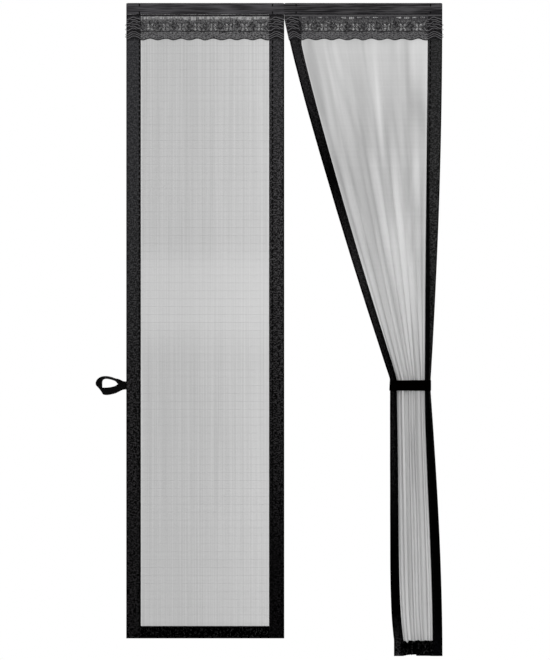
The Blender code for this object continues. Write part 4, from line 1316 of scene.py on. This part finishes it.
def build_tapes():
    """The headers, the hanging tapes and the hems."""
    left = header_tape_cloth("woven header tape, left", [(0.0, "#2a292b"), (1.0, "#4d4c4f")], 0.01)
    right = header_tape_cloth("woven header tape, right", [(0.0, "#1d1c1e"), (1.0, "#4b4a4c")], 0.12)
    header("left", LEFT_END, 0.0, 11, 0.00035, left)
    header("right", 0.0, RIGHT_END, 5, 0.0006, right)
    for name, place, width, inset, pocket, bottom in TAPES:
        label, ground, raised, fold_edge, shade = TAPE_LOOKS[name]
        label = f"woven binding tape, {label}"
        cloth = woven_tape(label, width, inset, ground, raised, fold_edge, shade=shade)
        hung_tape(name, place, width, inset, pocket, bottom, cloth)

    # The hem's grey specks are painted highlights, and its rolled fold carries painted shade.
    hem_cloth = woven_tape(
        "woven hem tape", LEFT_DROP - LEFT_HEM_DROP, -0.010, [(0.0, "#000000"), (1.0, "#000000")],
        [(0.0, "#303030"), (1.0, "#2c2c2c")], (0.0018, 0.3), 1.12,
    )
    x0 = LEFT_END + OUTER_TAPE_WIDTH - HEM_LAP
    x1 = -HALF_GAP - INNER_TAPE_WIDTH + HEM_LAP
    straight = [(x, MIDDLE_Y) for x in np.linspace(x0, x1, 60)]
    hem("left", straight, lambda s: LEFT_HEM_DROP, lambda s: LEFT_DROP, hem_cloth)

    line = right_net_line(RIGHT_HEM_DROP)
    first = line[1] + (line[0] - line[1]) * NET_EXIT / np.linalg.norm(line[0] - line[1])
    last = line[-2] + (line[-1] - line[-2]) * NET_EXIT / np.linalg.norm(line[-1] - line[-2])
    folded = np.vstack([[first], line[1:-1], [last]])
    run = run_along(folded)

    def across_hem(s):
        """A place s along the right hem: its x, and its share of the way across in x."""
        x = float(np.interp(s * run[-1], run, folded[:, 0]))
        return x, (x - folded[0, 0]) / (folded[-1, 0] - folded[0, 0])

    def hem_top(s):
        x, share = across_hem(s)
        dip = 0.0065 * math.exp(-(((x - HEM_DIP_X) / 0.0042) ** 2))
        waves = 0.0014 * math.sin(2 * math.pi * 3.5 * share) + 0.0008 * math.sin(2 * math.pi * 9 * share)
        return RIGHT_HEM_DROP + 0.001 + waves * math.sin(math.pi * s) + dip

    def hem_bottom(s):
        x, share = across_hem(s)
        raised = 1 - float(smooth((x - HEM_STEP_X) / 0.0025))
        lift = 0.0040 * raised + 0.0010 * math.sin(2 * math.pi * 13 * share) * raised
        return RIGHT_DROP - (0.0008 + lift) * math.sin(math.pi * s) ** 0.4

    hem("right", folded, hem_top, hem_bottom, hem_cloth)


def build():
    """All pieces of the screen, and the magnets' material."""
    build_tapes()
    left_grey = polyester_net(
        "grey polyester net, flat", [(0.0, "#9e9e9e"), (1.0, "#c8c8c8")],
        lean=0.32, knit=0.85, clouding=(2.2, 5.0, 1.0, 0.15), valley_shade=0.0,
        paler=[(0.38, "#000000"), (0.42, "#808080"), (0.50, "#808080"), (0.56, "#000000")],
        edges=(NET_SPAN / 2 + NET_TUCK, NET_TUCK + 0.0050),
    )
    # The gathered net's wisps, valley and paler stops are painted light and shade of its folds.
    right_grey = polyester_net(
        "grey polyester net, gathered", [(0.0, "#9c9c9c"), (1.0, "#d8d8d8")],
        lean=0.0, knit=0.15, clouding=(1.7, 12.0, 1.0, 2.4), valley_shade=0.45,
        paler=[(0.0, "#6c6c6c"), (0.20, "#606060"), (0.38, "#848484"), (0.56, "#bebebe"), (1.0, "#cccccc")],
        edges=(NET_SPAN / 2, 0.0065),
    )
    net_thread = thread("grey net thread", [(0.0, "#bcbcbc"), (1.0, "#cccccc")])
    left_net(left_grey)
    left_threads(yarn_tree(), net_thread)
    right_net(right_grey)

    yarns = {
        "fine": thread("fine lace yarn", [(0.0, "#3f3e40"), (1.0, "#646365")]),
        "pale": thread("raised lace yarn", [(0.0, "#4e4d4f"), (1.0, "#767577")]),
        "gimp": thread("heavy lace yarn", [(0.0, "#121113"), (1.0, "#242325")]),
    }
    repeater = repeat_tree()
    left_tulle = lace_ground("black nylon tulle, left", 0.42, 0.74)
    lace("left", LEFT_END, 18, 0.0175, left_tulle, yarns, repeater)
    right_tulle = lace_ground("black nylon tulle, right", 1.25, 0.82)
    lace("right", HALF_GAP, 30, 0.0130, right_tulle, yarns, repeater)

    left_loop(plain_ribbon("black polyester ribbon, loose", [(0.0, "#040404"), (1.0, "#0e0e0f")], 0.02))
    tight_shades = [(0.0, "#000000"), (1.0, "#020101")]
    right_loop(plain_ribbon("black polyester ribbon, drawn tight", tight_shades, 0.0))

    seam_thread = thread("black sewing thread", [(0.0, "#010101"), (1.0, "#050505")])
    sizes = {"Pitch": STITCH_PITCH, "Stitch Length": STITCH_LENGTH, "Thread Radius": STITCH_RADIUS}
    paths = line_object("seam_paths", stitch_lines())
    carry(grown(paths, stitch_tree(), "seam_stitches", sizes, seam_thread))

    ferrite = grained("pressed ferrite", 0.55, 0.5, 1500.0, [(0.0, "#2a2a2c"), (1.0, "#3d3d40")])
    for name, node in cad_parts.items():
        if "_magnet_" in name and not name.endswith("tape"):
            node.data.materials.clear()
            node.data.materials.append(ferrite)


build()
set_stage()
